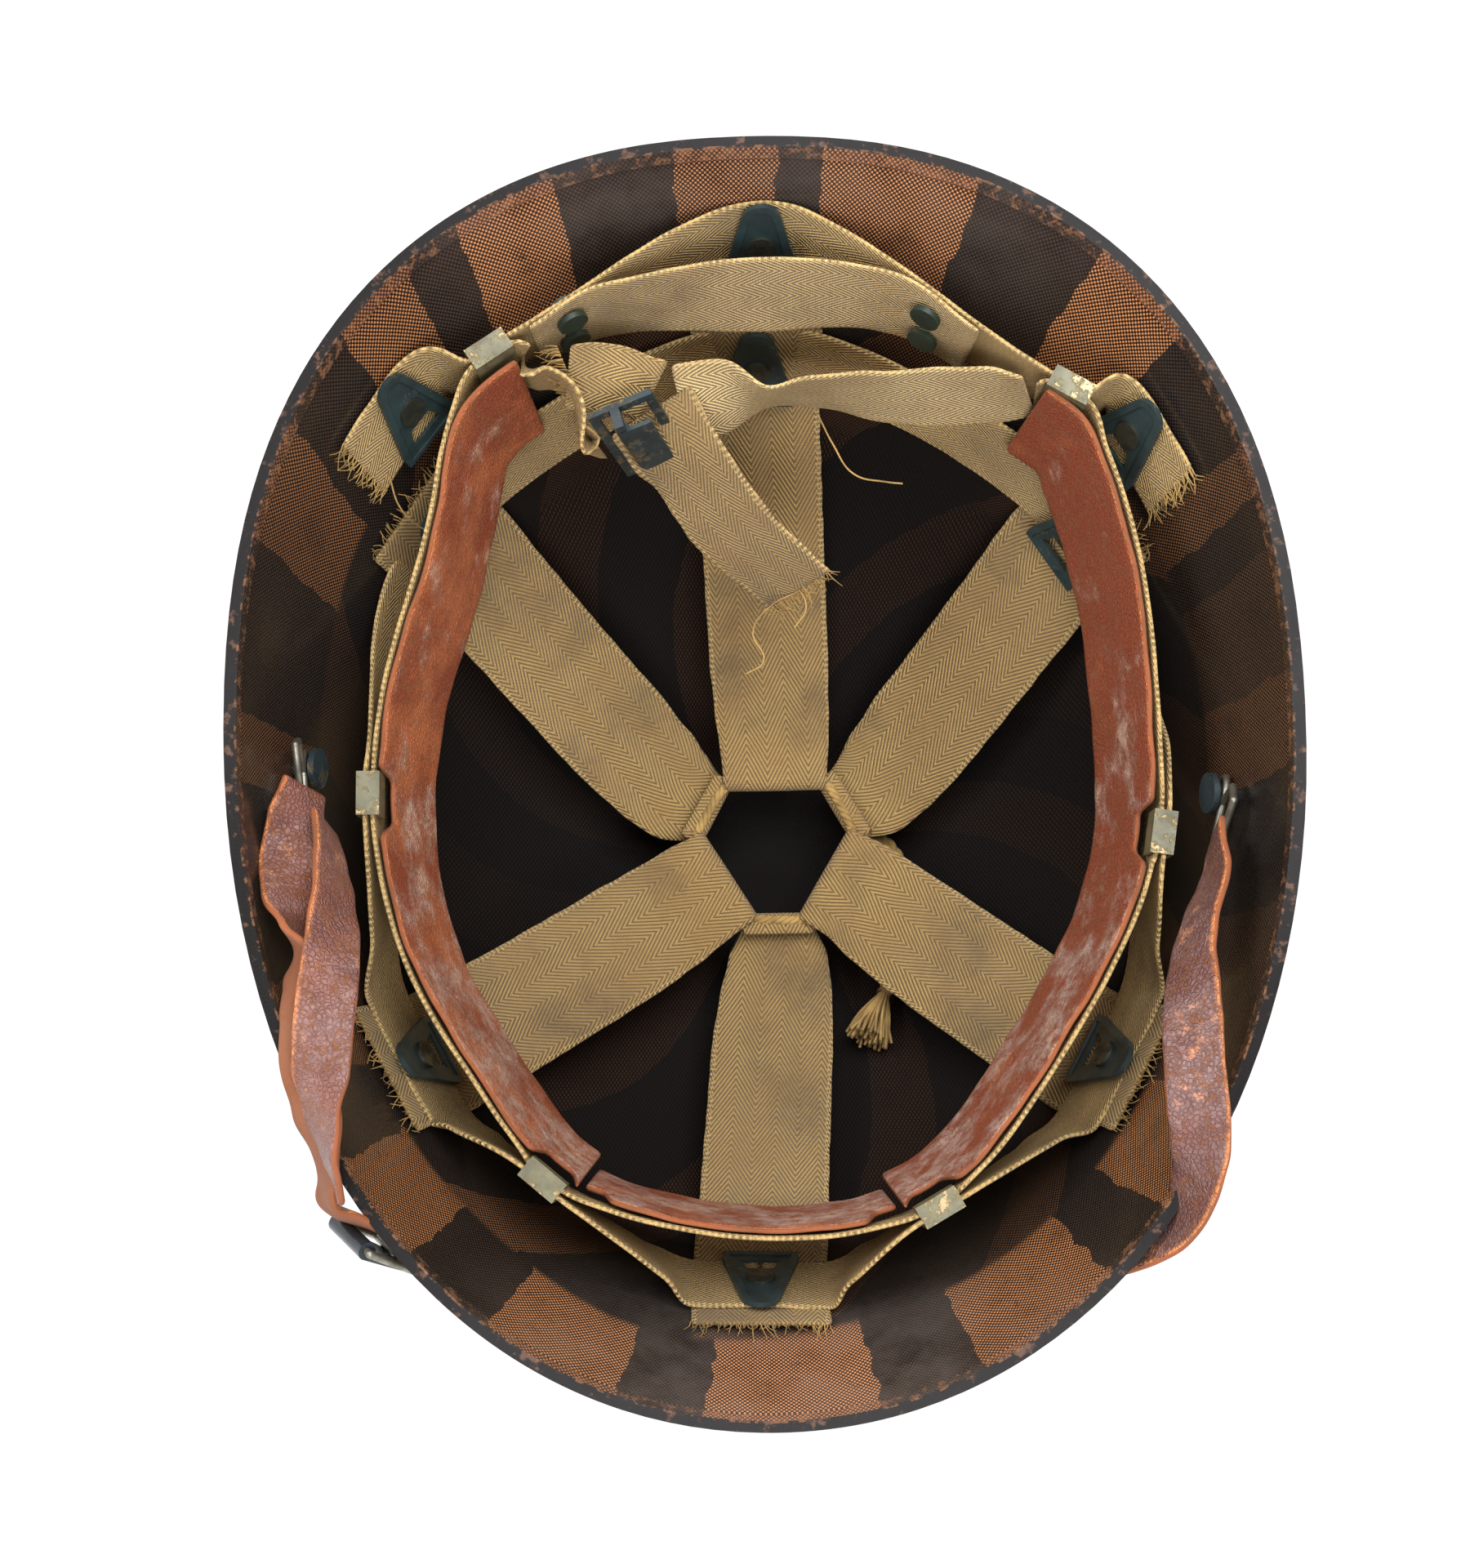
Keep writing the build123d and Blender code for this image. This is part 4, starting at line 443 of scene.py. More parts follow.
def new_group(name: str, inputs: Sequence[tuple[str, str]], outputs: Sequence[str],
              ) -> tuple[Graph, bpy.types.Node, bpy.types.Node]:
    """Empty shader group with named sockets.

    Args:
        name: The group's name.
        inputs: Name and kind of each input.
        outputs: Name of each number that it puts out.

    Returns:
        Its graph, its input node and its output node.
    """
    tree = bpy.data.node_groups.new(name, "ShaderNodeTree")
    for label, kind in inputs:
        tree.interface.new_socket(name=label, in_out="INPUT", socket_type=kind)
    for label in outputs:
        tree.interface.new_socket(name=label, in_out="OUTPUT", socket_type="NodeSocketFloat")
    graph = Graph(tree)
    return graph, graph.add("NodeGroupInput"), graph.add("NodeGroupOutput")


def plain_weave_group() -> bpy.types.NodeTree:
    """Group for plain weave: rows of thread crowns, each row half a thread out of step.

    Returns:
        The group's tree.
    """
    graph, given, result = new_group(
        "plain_weave", (("Across", "NodeSocketFloat"), ("Along", "NodeSocketFloat"),
                        ("Thread", "NodeSocketFloat")), ("Height",))
    lengthwise_share = 0.62
    turns = graph.math("DIVIDE", math.tau, given.outputs["Thread"])
    across = graph.math("COSINE", graph.times(given.outputs["Across"], turns))
    along = graph.math("COSINE", graph.times(given.outputs["Along"], graph.times(turns, lengthwise_share)))
    graph.put(result.inputs["Height"], graph.line(graph.times(across, along), 0.5, 0.5))
    return graph.tree


def herringbone_group() -> bpy.types.NodeTree:
    """Group for herringbone twill: slanting ridges that turn back in columns along the strap.

    Returns:
        The group's tree.
    """
    graph, given, result = new_group(
        "herringbone", (("Across", "NodeSocketFloat"), ("Along", "NodeSocketFloat"),
                        ("Column", "NodeSocketFloat"), ("Ridge", "NodeSocketFloat")), ("Height", "Groove"))
    far_side, slope, beads_a_ridge, bead_depth, groove_high = 200.0, 1.9, 2.6, 0.16, 0.45
    slant = graph.math("PINGPONG", graph.math("ADD", given.outputs["Across"], far_side),
                       given.outputs["Column"])
    phase = graph.math("ADD", given.outputs["Along"], graph.times(slant, slope))
    turn = graph.math("DIVIDE", math.tau, given.outputs["Ridge"])
    ridge = graph.line(graph.math("COSINE", graph.times(phase, turn)), 0.5, 0.5)
    bead = graph.math("COSINE", graph.times(given.outputs["Along"], graph.times(turn, beads_a_ridge)))
    graph.put(result.inputs["Height"], graph.times(ridge, graph.line(bead, bead_depth, 1.0 - bead_depth)))
    graph.put(result.inputs["Groove"], graph.math("SUBTRACT", 1.0, graph.between(ridge, 0.0, groove_high)))
    return graph.tree


def wear_group() -> bpy.types.NodeTree:
    """Group for wear: fine specks that gather in blotches.

    Returns:
        The group's tree.
    """
    graph, given, result = new_group(
        "wear", (("Vector", "NodeSocketVector"), ("Amount", "NodeSocketFloat")), ("Speck",))
    speck_weight, blotch_weight, amount_weight = 0.6, 0.5, 0.22
    blotch = graph.noise(given.outputs["Vector"], 60.0, 5.0, 0.6)
    speck = graph.noise(given.outputs["Vector"], 420.0, 6.0, 0.7)
    edge = graph.math("ADD", graph.times(speck, speck_weight), graph.times(blotch, blotch_weight))
    edge = graph.line(given.outputs["Amount"], amount_weight, edge)
    graph.put(result.inputs["Speck"], graph.between(edge, 0.66, 0.74))
    return graph.tree


def creases_group() -> bpy.types.NodeTree:
    """Group for leather: pores, cracks and the height of the grain.

    Returns:
        The group's tree.
    """
    graph, given, result = new_group(
        "leather_grain", (("Vector", "NodeSocketVector"), ("Scale", "NodeSocketFloat")), ("Height", "Crack"))
    pore_width, crack_width, crack_depth = 0.22, 0.016, 0.8
    cells = graph.add("ShaderNodeTexVoronoi", feature="DISTANCE_TO_EDGE")
    graph.put(cells.inputs["Vector"], given.outputs["Vector"])
    graph.put(cells.inputs["Scale"], given.outputs["Scale"])
    pores = graph.between(cells.outputs["Distance"], 0.0, pore_width)
    warp = graph.noise(given.outputs["Vector"], 90.0, 8.0, 0.7)
    crack = graph.math("ABSOLUTE", graph.math("SUBTRACT", warp, 0.5))
    crack = graph.math("SUBTRACT", 1.0, graph.between(crack, 0.0, crack_width))
    graph.put(result.inputs["Height"], graph.math("SUBTRACT", pores, graph.times(crack, crack_depth)))
    graph.put(result.inputs["Crack"], crack)
    return graph.tree


@dataclass
class Groups:
    """The shader groups, built once."""

    plain_weave: bpy.types.NodeTree = field(default_factory=plain_weave_group)
    herringbone: bpy.types.NodeTree = field(default_factory=herringbone_group)
    wear: bpy.types.NodeTree = field(default_factory=wear_group)
    creases: bpy.types.NodeTree = field(default_factory=creases_group)

    def place(self, graph: Graph, tree: bpy.types.NodeTree, **values: object) -> bpy.types.Node:
        """Place a group in a material.

        Args:
            graph: The material's graph.
            tree: The group.
            **values: A value or a socket for each named input.

        Returns:
            The group's node.
        """
        node = graph.add("ShaderNodeGroup")
        node.node_tree = tree
        for name, value in values.items():
            graph.put(node.inputs[name], value)
        return node


def rgb(red: int, green: int, blue: int) -> Colour:
    """Linear colour of an 8-bit display colour.

    Args:
        red: Red from 0 to 255.
        green: Green from 0 to 255.
        blue: Blue from 0 to 255.

    Returns:
        The colour.
    """
    linear = []
    for value in (red, green, blue):
        share = value / 255.0
        linear.append(share / 12.92 if share <= 0.04045 else ((share + 0.055) / 1.055) ** 2.4)
    return (linear[0], linear[1], linear[2], 1.0)


@dataclass(frozen=True)
class Finish:
    """What every finish has: a name, and the way its material starts and gets its relief."""

    name: str

    def begin(self) -> tuple[bpy.types.Material, Graph, bpy.types.Node, bpy.types.Node]:
        """New material.

        Returns:
            The material, its graph, its shader and its coordinates.
        """
        material = bpy.data.materials.new(self.name)
        material.use_nodes = True
        graph = Graph(material.node_tree)
        shader = material.node_tree.nodes["Principled BSDF"]
        return material, graph, shader, graph.add("ShaderNodeTexCoord")

    def flat(self, graph: Graph, place: bpy.types.Node) -> bpy.types.NodeSocket:
        """Coordinates on the strap laid flat: mm across from its middle, and mm along."""
        return graph.scaled(place.outputs["UV"], 1.0 / MM, (-0.5 / MM, 0.0, 0.0))

    def bump(self, graph: Graph, shader: bpy.types.Node, height: object, distance: float) -> None:
        """Feed a height to the shader's normal.

        Args:
            graph: The material's graph.
            shader: Its shader.
            height: The height.
            distance: Its depth in metres.
        """
        node = graph.add("ShaderNodeBump")
        node.inputs["Distance"].default_value = distance
        node.inputs["Strength"].default_value = 1.0
        graph.put(node.inputs["Height"], height)
        graph.put(shader.inputs["Normal"], node.outputs[0])


class ShellPlace:
    """Numbers that say where a point of the shell lies, in mm and turns, with its cloudiness."""

    def __init__(self, graph: Graph, coordinates: bpy.types.Node) -> None:
        """Work out the numbers.

        Args:
            graph: The material's graph.
            coordinates: Its coordinates' node.
        """
        self.at = coordinates.outputs["Object"]
        self.normal = coordinates.outputs["Normal"]
        self.x, self.y, self.z = graph.parts(graph.scaled(self.at, 1.0 / MM))
        around = graph.math("DIVIDE", graph.math("ARCTAN2", self.y, self.x), math.tau)
        self.turn = graph.math("FRACT", graph.math("ADD", around, 1.0))
        square = graph.math("ADD", graph.times(self.x, self.x), graph.times(self.y, self.y))
        self.radius = graph.math("SQRT", square)
        self.level_normal = graph.parts(self.normal)[2]
        self.lean = graph.noise(self.at, 9.0, 1.0)
        self.blotch = graph.noise(self.at, 45.0, 5.0, 0.65)
        self.speckle = graph.noise(self.at, 900.0, 4.0, 0.7)
        self.gone = graph.noise(self.at, 260.0, 3.0, 0.7)


@dataclass(frozen=True)
class LaminateFinish(Finish):
    """Lacquered strips of cloth inside, dull paint outside. Lengths are in mm."""

    pale: Colour = rgb(232, 154, 94)
    brown: Colour = rgb(38, 23, 17)
    dark: Colour = rgb(12, 11, 12)
    dot_dark: Colour = rgb(44, 37, 33)
    shadow: Colour = rgb(15, 12, 11)
    # Pale grey of dust, also painted in as the lacquer's sheen near the visor and nape rims
    dust_and_sheen: Colour = rgb(150, 138, 132)
    lip: Colour = rgb(22, 19, 19)
    lip_worn: Colour = rgb(88, 64, 52)
    bare: Colour = rgb(176, 122, 84)
    paint: Colour = rgb(74, 74, 50)
    paint_shadow: Colour = rgb(52, 53, 36)
    scuffed: Colour = rgb(120, 100, 70)
    worn: float = 0.0
    thread: float = 0.95
    threads_round: float = 720.0
    shadow_share: float = 0.86
    dust_and_sheen_share: float = 0.32
    scuff_share: float = 0.3
    seam_height: float = 126.0
    seam_blur: float = 3.0
    dome_bottom: float = 66.0
    dome_top: float = 78.0
    lit_height: float = 132.0
    rim_height: float = 138.0
    middle_height: float = 0.150
    relief: float = 0.00016

    def strips(self, graph: Graph, spot: ShellPlace) -> bpy.types.NodeSocket:
        """Tone of the cloth strips.

        Args:
            graph: The material's graph.
            spot: Where the point lies.

        Returns:
            The tone's socket, from 0 for dark to 1 for pale.
        """
        ragged = graph.noise(spot.at, 120.0, 4.0)
        moved = graph.math("ADD", spot.turn, graph.line(ragged, 0.006, -0.003))
        moved = graph.math("ADD", moved, graph.line(spot.lean, 0.02, -0.01))
        moved = graph.math("FRACT", graph.math("ADD", moved, 1.0))
        slanted = graph.math("FRACT", graph.line(spot.z, 0.0011, moved))
        level = graph.line(spot.lean, 26.0, spot.z)
        tone = graph.add("ShaderNodeMix")
        graph.put(tone.inputs[0], graph.between(level, self.seam_height, self.seam_height + self.seam_blur))
        graph.put(tone.inputs[2], graph.steps(slanted, DEEP_STRIPS))
        graph.put(tone.inputs[3], graph.steps(moved, RIM_STRIPS))
        cloudy = graph.times(tone.outputs[0], graph.between(spot.blotch, -0.1, 0.5))
        # Painted shade: the strips' tone falls to about two thirds on the side walls and stays full towards
        # the front and back
        ends = graph.between(graph.math("ABSOLUTE", graph.math("DIVIDE", spot.y, spot.radius)), 0.2, 0.85)
        cloudy = graph.times(cloudy, graph.line(ends, 0.35, 0.65))
        return graph.math("POWER", graph.times(cloudy, graph.between(spot.radius, 8.0, 40.0)), 1.6)

    def weave(self, graph: Graph, groups: Groups, spot: ShellPlace) -> bpy.types.NodeSocket:
        """Height of the weave, which follows the wall above and lies flat over the crown.

        Args:
            graph: The material's graph.
            groups: The shader groups.
            spot: Where the point lies.

        Returns:
            The height's socket.
        """
        along = graph.times(spot.turn, self.threads_round)
        upward = graph.line(spot.radius, 0.4, spot.z)
        upward = graph.line(graph.noise(spot.at, 35.0, 2.0), 2.4, upward)
        wall = groups.place(graph, groups.plain_weave, Across=along, Along=upward, Thread=self.thread)
        dome = groups.place(graph, groups.plain_weave, Across=spot.x, Along=spot.y, Thread=self.thread)
        low = graph.between(spot.z, self.dome_top, self.dome_bottom)
        return graph.math("ADD", graph.times(wall.outputs["Height"], graph.math("SUBTRACT", 1.0, low)),
                          graph.times(dome.outputs["Height"], low))

    def outer(self, graph: Graph, spot: ShellPlace) -> bpy.types.NodeSocket:
        """Mask of the outside.

        Args:
            graph: The material's graph.
            spot: Where the point lies.

        Returns:
            The mask's socket, 1 outside, 0 inside and on the rim's end face.
        """
        away = graph.add("ShaderNodeVectorMath", operation="DOT_PRODUCT")
        outward = graph.add("ShaderNodeVectorMath", operation="SUBTRACT")
        graph.put(outward.inputs[0], spot.at)
        outward.inputs[1].default_value = (0.0, 0.0, self.middle_height)
        graph.put(away.inputs[0], spot.normal)
        graph.put(away.inputs[1], outward.outputs[0])
        steep = graph.math("LESS_THAN", spot.level_normal, 0.3)
        return graph.times(graph.math("GREATER_THAN", away.outputs["Value"], 0.0), steep)

    def lined(self, graph: Graph, spot: ShellPlace, height: bpy.types.NodeSocket,
              lip: bpy.types.NodeSocket) -> bpy.types.NodeSocket:
        """Colour of the inside, with dust and a painted sheen near the visor and nape rims.

        Args:
            graph: The material's graph.
            spot: Where the point lies.
            height: Height of the weave.
            lip: Mask of the rim's end face.

        Returns:
            The colour's socket.
        """
        tone = self.strips(graph, spot)
        dots = graph.times(graph.between(height, 0.48, 0.74), graph.between(spot.gone, 0.12, 0.42))
        colour = graph.mix(dots, graph.mix(tone, self.dark, self.brown),
                           graph.mix(tone, self.dot_dark, self.pale))
        depth = graph.between(spot.z, self.dome_bottom, self.lit_height)
        colour = graph.mix(graph.line(depth, -self.shadow_share, self.shadow_share), colour, self.shadow)
        # Dust and painted sheen: a pale grey haze towards the visor rim, and half as much towards the nape
        # rim, stands in for the lacquer's gloss there
        dust_and_sheen_mask = graph.math("ADD", graph.between(spot.y, -96.0, -136.0),
                           graph.times(graph.between(spot.y, 100.0, 140.0), 0.5))
        dust_and_sheen_mask = graph.times(dust_and_sheen_mask, graph.times(graph.between(spot.blotch, 0.2, 0.8), self.dust_and_sheen_share))
        colour = graph.mix(dust_and_sheen_mask, colour, self.dust_and_sheen)
        colour = graph.mix(lip, colour,
                           graph.mix(graph.between(spot.gone, 0.56, 0.7), self.lip, self.lip_worn))
        if self.worn:
            bare = graph.between(graph.noise(spot.at, 420.0, 5.0, 0.7), 0.5, 0.6)
            colour = graph.mix(graph.times(bare, self.worn), colour, self.bare)
        return colour

    def painted(self, graph: Graph, groups: Groups, spot: ShellPlace) -> bpy.types.NodeSocket:
        """Colour of the outside.

        Args:
            graph: The material's graph.
            groups: The shader groups.
            spot: Where the point lies.

        Returns:
            The colour's socket.
        """
        scuff = groups.place(graph, groups.wear, Vector=spot.at, Amount=0.35)
        colour = graph.mix(graph.times(spot.speckle, 0.5), self.paint, self.paint_shadow)
        return graph.mix(graph.times(scuff.outputs["Speck"], self.scuff_share), colour, self.scuffed)

    def build(self, groups: Groups) -> bpy.types.Material:
        """Build the material.

        Args:
            groups: The shader groups.

        Returns:
            The material.
        """
        material, graph, shader, place = self.begin()
        spot = ShellPlace(graph, place)
        height = self.weave(graph, groups, spot)
        outer = self.outer(graph, spot)
        lip = graph.times(graph.between(spot.level_normal, 0.62, 0.8),
                          graph.between(spot.z, self.lit_height, self.rim_height))
        graph.put(shader.inputs["Base Color"], graph.mix(
            outer, self.lined(graph, spot, height, lip), self.painted(graph, groups, spot)))
        graph.put(shader.inputs["Roughness"], graph.line(spot.blotch, 0.2, 0.68))
        bare_lip = graph.math("SUBTRACT", 1.0, graph.math("MAXIMUM", outer, graph.times(lip, 0.8)))
        lacquer = graph.times(graph.between(spot.z, 84.0, self.rim_height), bare_lip)
        lacquer = graph.times(lacquer, graph.line(spot.blotch, 0.7, 0.35), clamp=True)
        graph.put(shader.inputs["Coat Weight"], lacquer)
        relief = graph.times(height, graph.math("SUBTRACT", 1.0, outer))
        relief = graph.math("ADD", relief, graph.times(graph.times(spot.speckle, outer), 0.7))
        self.bump(graph, shader, relief, self.relief)
        shader.inputs["Specular IOR Level"].default_value = 0.12
        shader.inputs["Coat Roughness"].default_value = 0.22
        return material


@dataclass(frozen=True)
class WebbingFinish(Finish):
    """Herringbone webbing with soil, and beaded edges painted paler as a highlight. Lengths are in mm."""

    half_width: float = 16.0
    base: Colour = rgb(188, 155, 96)
    shade: Colour = rgb(74, 54, 26)
    warm: Colour = rgb(150, 112, 66)
    soil: Colour = rgb(104, 84, 58)
    fibre: Colour = rgb(214, 186, 128)
    selvedge_highlight: Colour = rgb(222, 188, 122)
    column: float = 5.5
    bead: float = 1.5
    ridge: float = 2.0
    selvedge_outer: float = 1.1
    selvedge_inner: float = 1.5
    soil_amount: float = 0.7
    relief: float = 0.0006

    def build(self, groups: Groups) -> bpy.types.Material:
        """Build the material.

        Args:
            groups: The shader groups.

        Returns:
            The material.
        """
        material, graph, shader, place = self.begin()
        at, flat = place.outputs["Object"], self.flat(graph, place)
        across, along, _ = graph.parts(flat)
        weave = groups.place(graph, groups.herringbone, Across=across, Along=along, Column=self.column,
                             Ridge=self.ridge)
        fibre = graph.noise(flat, 2.4, 6.0, 0.7)
        colour = graph.mix(graph.times(weave.outputs["Groove"], 0.85), self.base, self.shade)
        warm = graph.between(graph.noise(at, 80.0, 3.0), 0.35, 0.75)
        colour = graph.mix(graph.times(warm, 0.35), colour, self.warm)
        soiled = graph.between(graph.noise(at, 34.0, 5.0, 0.6), 0.45, 0.75)
        colour = graph.mix(graph.times(soiled, self.soil_amount), colour, self.soil)
        # Pale fibre flecks at random, raised as a painted highlight on the fuzz
        colour = graph.mix(graph.times(graph.between(fibre, 0.52, 0.75), 0.5), colour, self.fibre)
        # Painted highlight: the beaded selvedge is painted paler along both edges, where the beads catch the
        # light
        edge = graph.between(graph.math("ABSOLUTE", across), self.half_width - self.selvedge_inner,
                             self.half_width - self.selvedge_outer)
        bead = graph.line(graph.math("COSINE", graph.times(along, math.tau / self.bead)), 0.5, 0.5)
        colour = graph.mix(graph.times(edge, graph.times(bead, 0.8)), colour, self.selvedge_highlight)
        graph.put(shader.inputs["Base Color"], colour)
        shader.inputs["Roughness"].default_value = 0.92
        shader.inputs["Specular IOR Level"].default_value = 0.2
        shader.inputs["Sheen Weight"].default_value = 0.12
        shader.inputs["Sheen Roughness"].default_value = 0.6
        relief = graph.line(fibre, 0.6, weave.outputs["Height"])
        relief = graph.line(graph.times(edge, bead), 0.8, relief)
        self.bump(graph, shader, relief, self.relief)
        return material


@dataclass(frozen=True)
class ThreadFinish(Finish):
    """Loose cotton threads and cord."""

    base: Colour = rgb(192, 156, 92)
    aged: Colour = rgb(140, 112, 66)
    shade: Colour = rgb(92, 74, 44)

    def build(self, groups: Groups) -> bpy.types.Material:
        """Build the material.

        Args:
            groups: The shader groups, not used here.

        Returns:
            The material.
        """
        material, graph, shader, place = self.begin()
        fibre = graph.noise(place.outputs["Object"], 1400.0, 4.0, 0.7)
        cloud = graph.noise(place.outputs["Object"], 110.0, 3.0)
        colour = graph.mix(graph.between(cloud, 0.35, 0.7), self.base, self.aged)
        colour = graph.mix(graph.times(fibre, 0.5), colour, self.shade)
        graph.put(shader.inputs["Base Color"], colour)
        shader.inputs["Roughness"].default_value = 0.9
        self.bump(graph, shader, fibre, 0.0002)
        return material


@dataclass(frozen=True)
class LeatherFinish(Finish):
    """Dyed grain side of old leather: rubbed high spots with painted light on the left side, cracks and pale
    bloom.
    """

    half_width: float = 19.0
    dye: Colour = rgb(136, 64, 38)
    rubbed_and_lit: Colour = rgb(182, 104, 64)
    bloom: Colour = rgb(188, 168, 156)
    crack: Colour = rgb(206, 126, 68)
    bloom_amount: float = 0.7
    rubbed_and_lit_amount: float = 0.85
    # Shift that paints the left (-X) side paler, as if lit from there
    lit_leftward: float = -1.3
    grain: float = 900.0
    gloss: float = 0.42
    relief: float = 0.00022

    def build(self, groups: Groups) -> bpy.types.Material:
        """Build the material.

        Args:
            groups: The shader groups.

        Returns:
            The material.
        """
        material, graph, shader, place = self.begin()
        at = place.outputs["Object"]
        x, y, _ = graph.parts(at)
        across = graph.parts(self.flat(graph, place))[0]
        skin = groups.place(graph, groups.creases, Vector=at, Scale=self.grain)
        cloud = graph.noise(at, 42.0, 6.0, 0.65)
        streak = graph.noise(graph.scaled(at, 1.0, (0.3, 0.1, 0.2)), 75.0, 6.0, 0.6)
        fine = graph.noise(at, 300.0, 5.0, 0.7)
        # Rubbed high spots and painted light: the paler grain reaches further towards -X, the lit left side,
        # than towards +X
        high = graph.between(graph.line(x, self.lit_leftward, cloud), 0.46, 0.7)
        colour = graph.mix(graph.times(high, self.rubbed_and_lit_amount), self.dye, self.rubbed_and_lit)
        flaked = graph.between(graph.line(streak, 0.7, graph.times(fine, 0.45)), 0.66, 0.72)
        colour = graph.mix(graph.times(flaked, 0.75), colour, self.crack)
        ahead = graph.between(y, 0.05, -0.07)
        pale = graph.times(graph.between(graph.line(ahead, 0.14, streak), 0.52, 0.72), self.bloom_amount)
        colour = graph.mix(graph.times(pale, graph.between(fine, 0.3, 0.62)), colour, self.bloom)
        colour = graph.mix(graph.times(skin.outputs["Crack"], 0.55), colour, self.crack)
        edge = graph.between(across, self.half_width - 1.5, self.half_width - 0.2)
        colour = graph.mix(graph.times(edge, graph.between(fine, 0.3, 0.6)), colour, self.crack)
        graph.put(shader.inputs["Base Color"], colour)
        graph.put(shader.inputs["Roughness"], graph.line(fine, 0.25, self.gloss))
        self.bump(graph, shader, graph.line(cloud, 1.6, skin.outputs["Height"]), self.relief)
        return material


@dataclass(frozen=True)
class FleshFinish(Finish):
    """Raw flesh side and cut edge of leather."""

    base: Colour = rgb(186, 112, 62)
    browned: Colour = rgb(132, 76, 44)
    shade: Colour = rgb(92, 50, 30)

    def build(self, groups: Groups) -> bpy.types.Material:
        """Build the material.

        Args:
            groups: The shader groups, not used here.

        Returns:
            The material.
        """
        material, graph, shader, place = self.begin()
        nap = graph.noise(place.outputs["Object"], 700.0, 6.0, 0.75)
        cloud = graph.noise(place.outputs["Object"], 60.0, 4.0)
        colour = graph.mix(graph.between(cloud, 0.4, 0.7), self.base, self.browned)
        colour = graph.mix(graph.times(nap, 0.5), colour, self.shade)
        graph.put(shader.inputs["Base Color"], colour)
        shader.inputs["Roughness"].default_value = 0.85
        self.bump(graph, shader, nap, 0.0003)
        return material


@dataclass(frozen=True)
class EnamelFinish(Finish):
    """Dark enamel chipped to the metal."""

    base: Colour = rgb(38, 54, 56)
    under: Colour = rgb(120, 108, 84)
    chips: float = 0.3
    gloss: float = 0.42
    shade_share: float = 0.55

    def build(self, groups: Groups) -> bpy.types.Material:
        """Build the material.

        Args:
            groups: The shader groups.

        Returns:
            The material.
        """
        material, graph, shader, place = self.begin()
        wear = groups.place(graph, groups.wear, Vector=place.outputs["Object"], Amount=self.chips)
        cloud = graph.noise(place.outputs["Object"], 190.0, 4.0)
        shade = tuple(channel * self.shade_share for channel in self.base[:3]) + (1.0,)
        colour = graph.mix(graph.between(cloud, 0.35, 0.7), self.base, shade)
        graph.put(shader.inputs["Base Color"], graph.mix(wear.outputs["Speck"], colour, self.under))
        graph.put(shader.inputs["Metallic"], graph.times(wear.outputs["Speck"], 0.8))
        graph.put(shader.inputs["Roughness"], graph.line(cloud, 0.25, self.gloss - 0.1))
        relief = graph.math("SUBTRACT", graph.times(cloud, 0.5), wear.outputs["Speck"])
        self.bump(graph, shader, relief, 0.0001)
        return material


@dataclass(frozen=True)
class MetalFinish(Finish):
    """Tarnished bare metal."""

    base: Colour = rgb(150, 146, 134)
    tarnish: Colour = rgb(58, 54, 46)
    amount: float = 0.6

    def build(self, groups: Groups) -> bpy.types.Material:
        """Build the material.

        Args:
            groups: The shader groups, not used here.

        Returns:
            The material.
        """
        material, graph, shader, place = self.begin()
        cloud = graph.noise(place.outputs["Object"], 240.0, 5.0, 0.65)
        fine = graph.noise(place.outputs["Object"], 1500.0, 3.0)
        stain = graph.times(graph.between(cloud, 0.35, 0.65), self.amount)
        graph.put(shader.inputs["Base Color"], graph.mix(stain, self.base, self.tarnish))
        shader.inputs["Metallic"].default_value = 0.85
        graph.put(shader.inputs["Roughness"], graph.line(stain, 0.3, 0.34))
        self.bump(graph, shader, fine, 0.00004)
        return material


@dataclass
class Finishes:
    """All materials of the liner."""

    groups: Groups = field(default_factory=Groups)
    made: dict[str, bpy.types.Material] = field(default_factory=dict)

    def get(self, finish: Finish) -> bpy.types.Material:
        """Material of a finish, built when it is first asked for."""
        if finish.name not in self.made:
            self.made[finish.name] = finish.build(self.groups)
        return self.made[finish.name]


LAMINATE = LaminateFinish("laminate_strips")
RIM_EDGE = LaminateFinish("rim_edge", pale=rgb(196, 130, 86), brown=rgb(70, 44, 32), dark=rgb(30, 24, 22),
                          worn=0.3)
WEBBING_WIDE = WebbingFinish("webbing_crown")
WEBBING_BAND = WebbingFinish("webbing_band", half_width=11.0, column=3.7, ridge=1.7, base=rgb(204, 170, 108),
                             soil_amount=0.45)
WEBBING_DIRTY = WebbingFinish("webbing_soiled", half_width=12.0, column=4.0, ridge=1.7,
                              base=rgb(218, 186, 130))
WEBBING_CLEAN = WebbingFinish("webbing_clean", half_width=11.0, column=3.7, ridge=1.7,
                              base=rgb(232, 202, 144), soil_amount=0.2)
WEBBING_TAIL = WebbingFinish("webbing_tail", half_width=11.0, column=3.7, ridge=1.7, soil_amount=1.0,
                             base=rgb(172, 142, 90), soil=rgb(84, 66, 46))
SWEATBAND = LeatherFinish("sweatband_grain")
CHIN_GRAIN = LeatherFinish("chinstrap_grain", half_width=6.5, dye=rgb(98, 60, 54), rubbed_and_lit=rgb(136, 84, 68),
                           bloom=rgb(150, 126, 122), bloom_amount=0.35, rubbed_and_lit_amount=0.6, gloss=0.36)
FLESH = FleshFinish("leather_flesh")
CHIN_FLESH = FleshFinish("chinstrap_flesh", base=rgb(140, 88, 60))
LEATHER_EDGE = FleshFinish("leather_edge", base=rgb(158, 88, 50))
THREAD = ThreadFinish("cotton_thread")
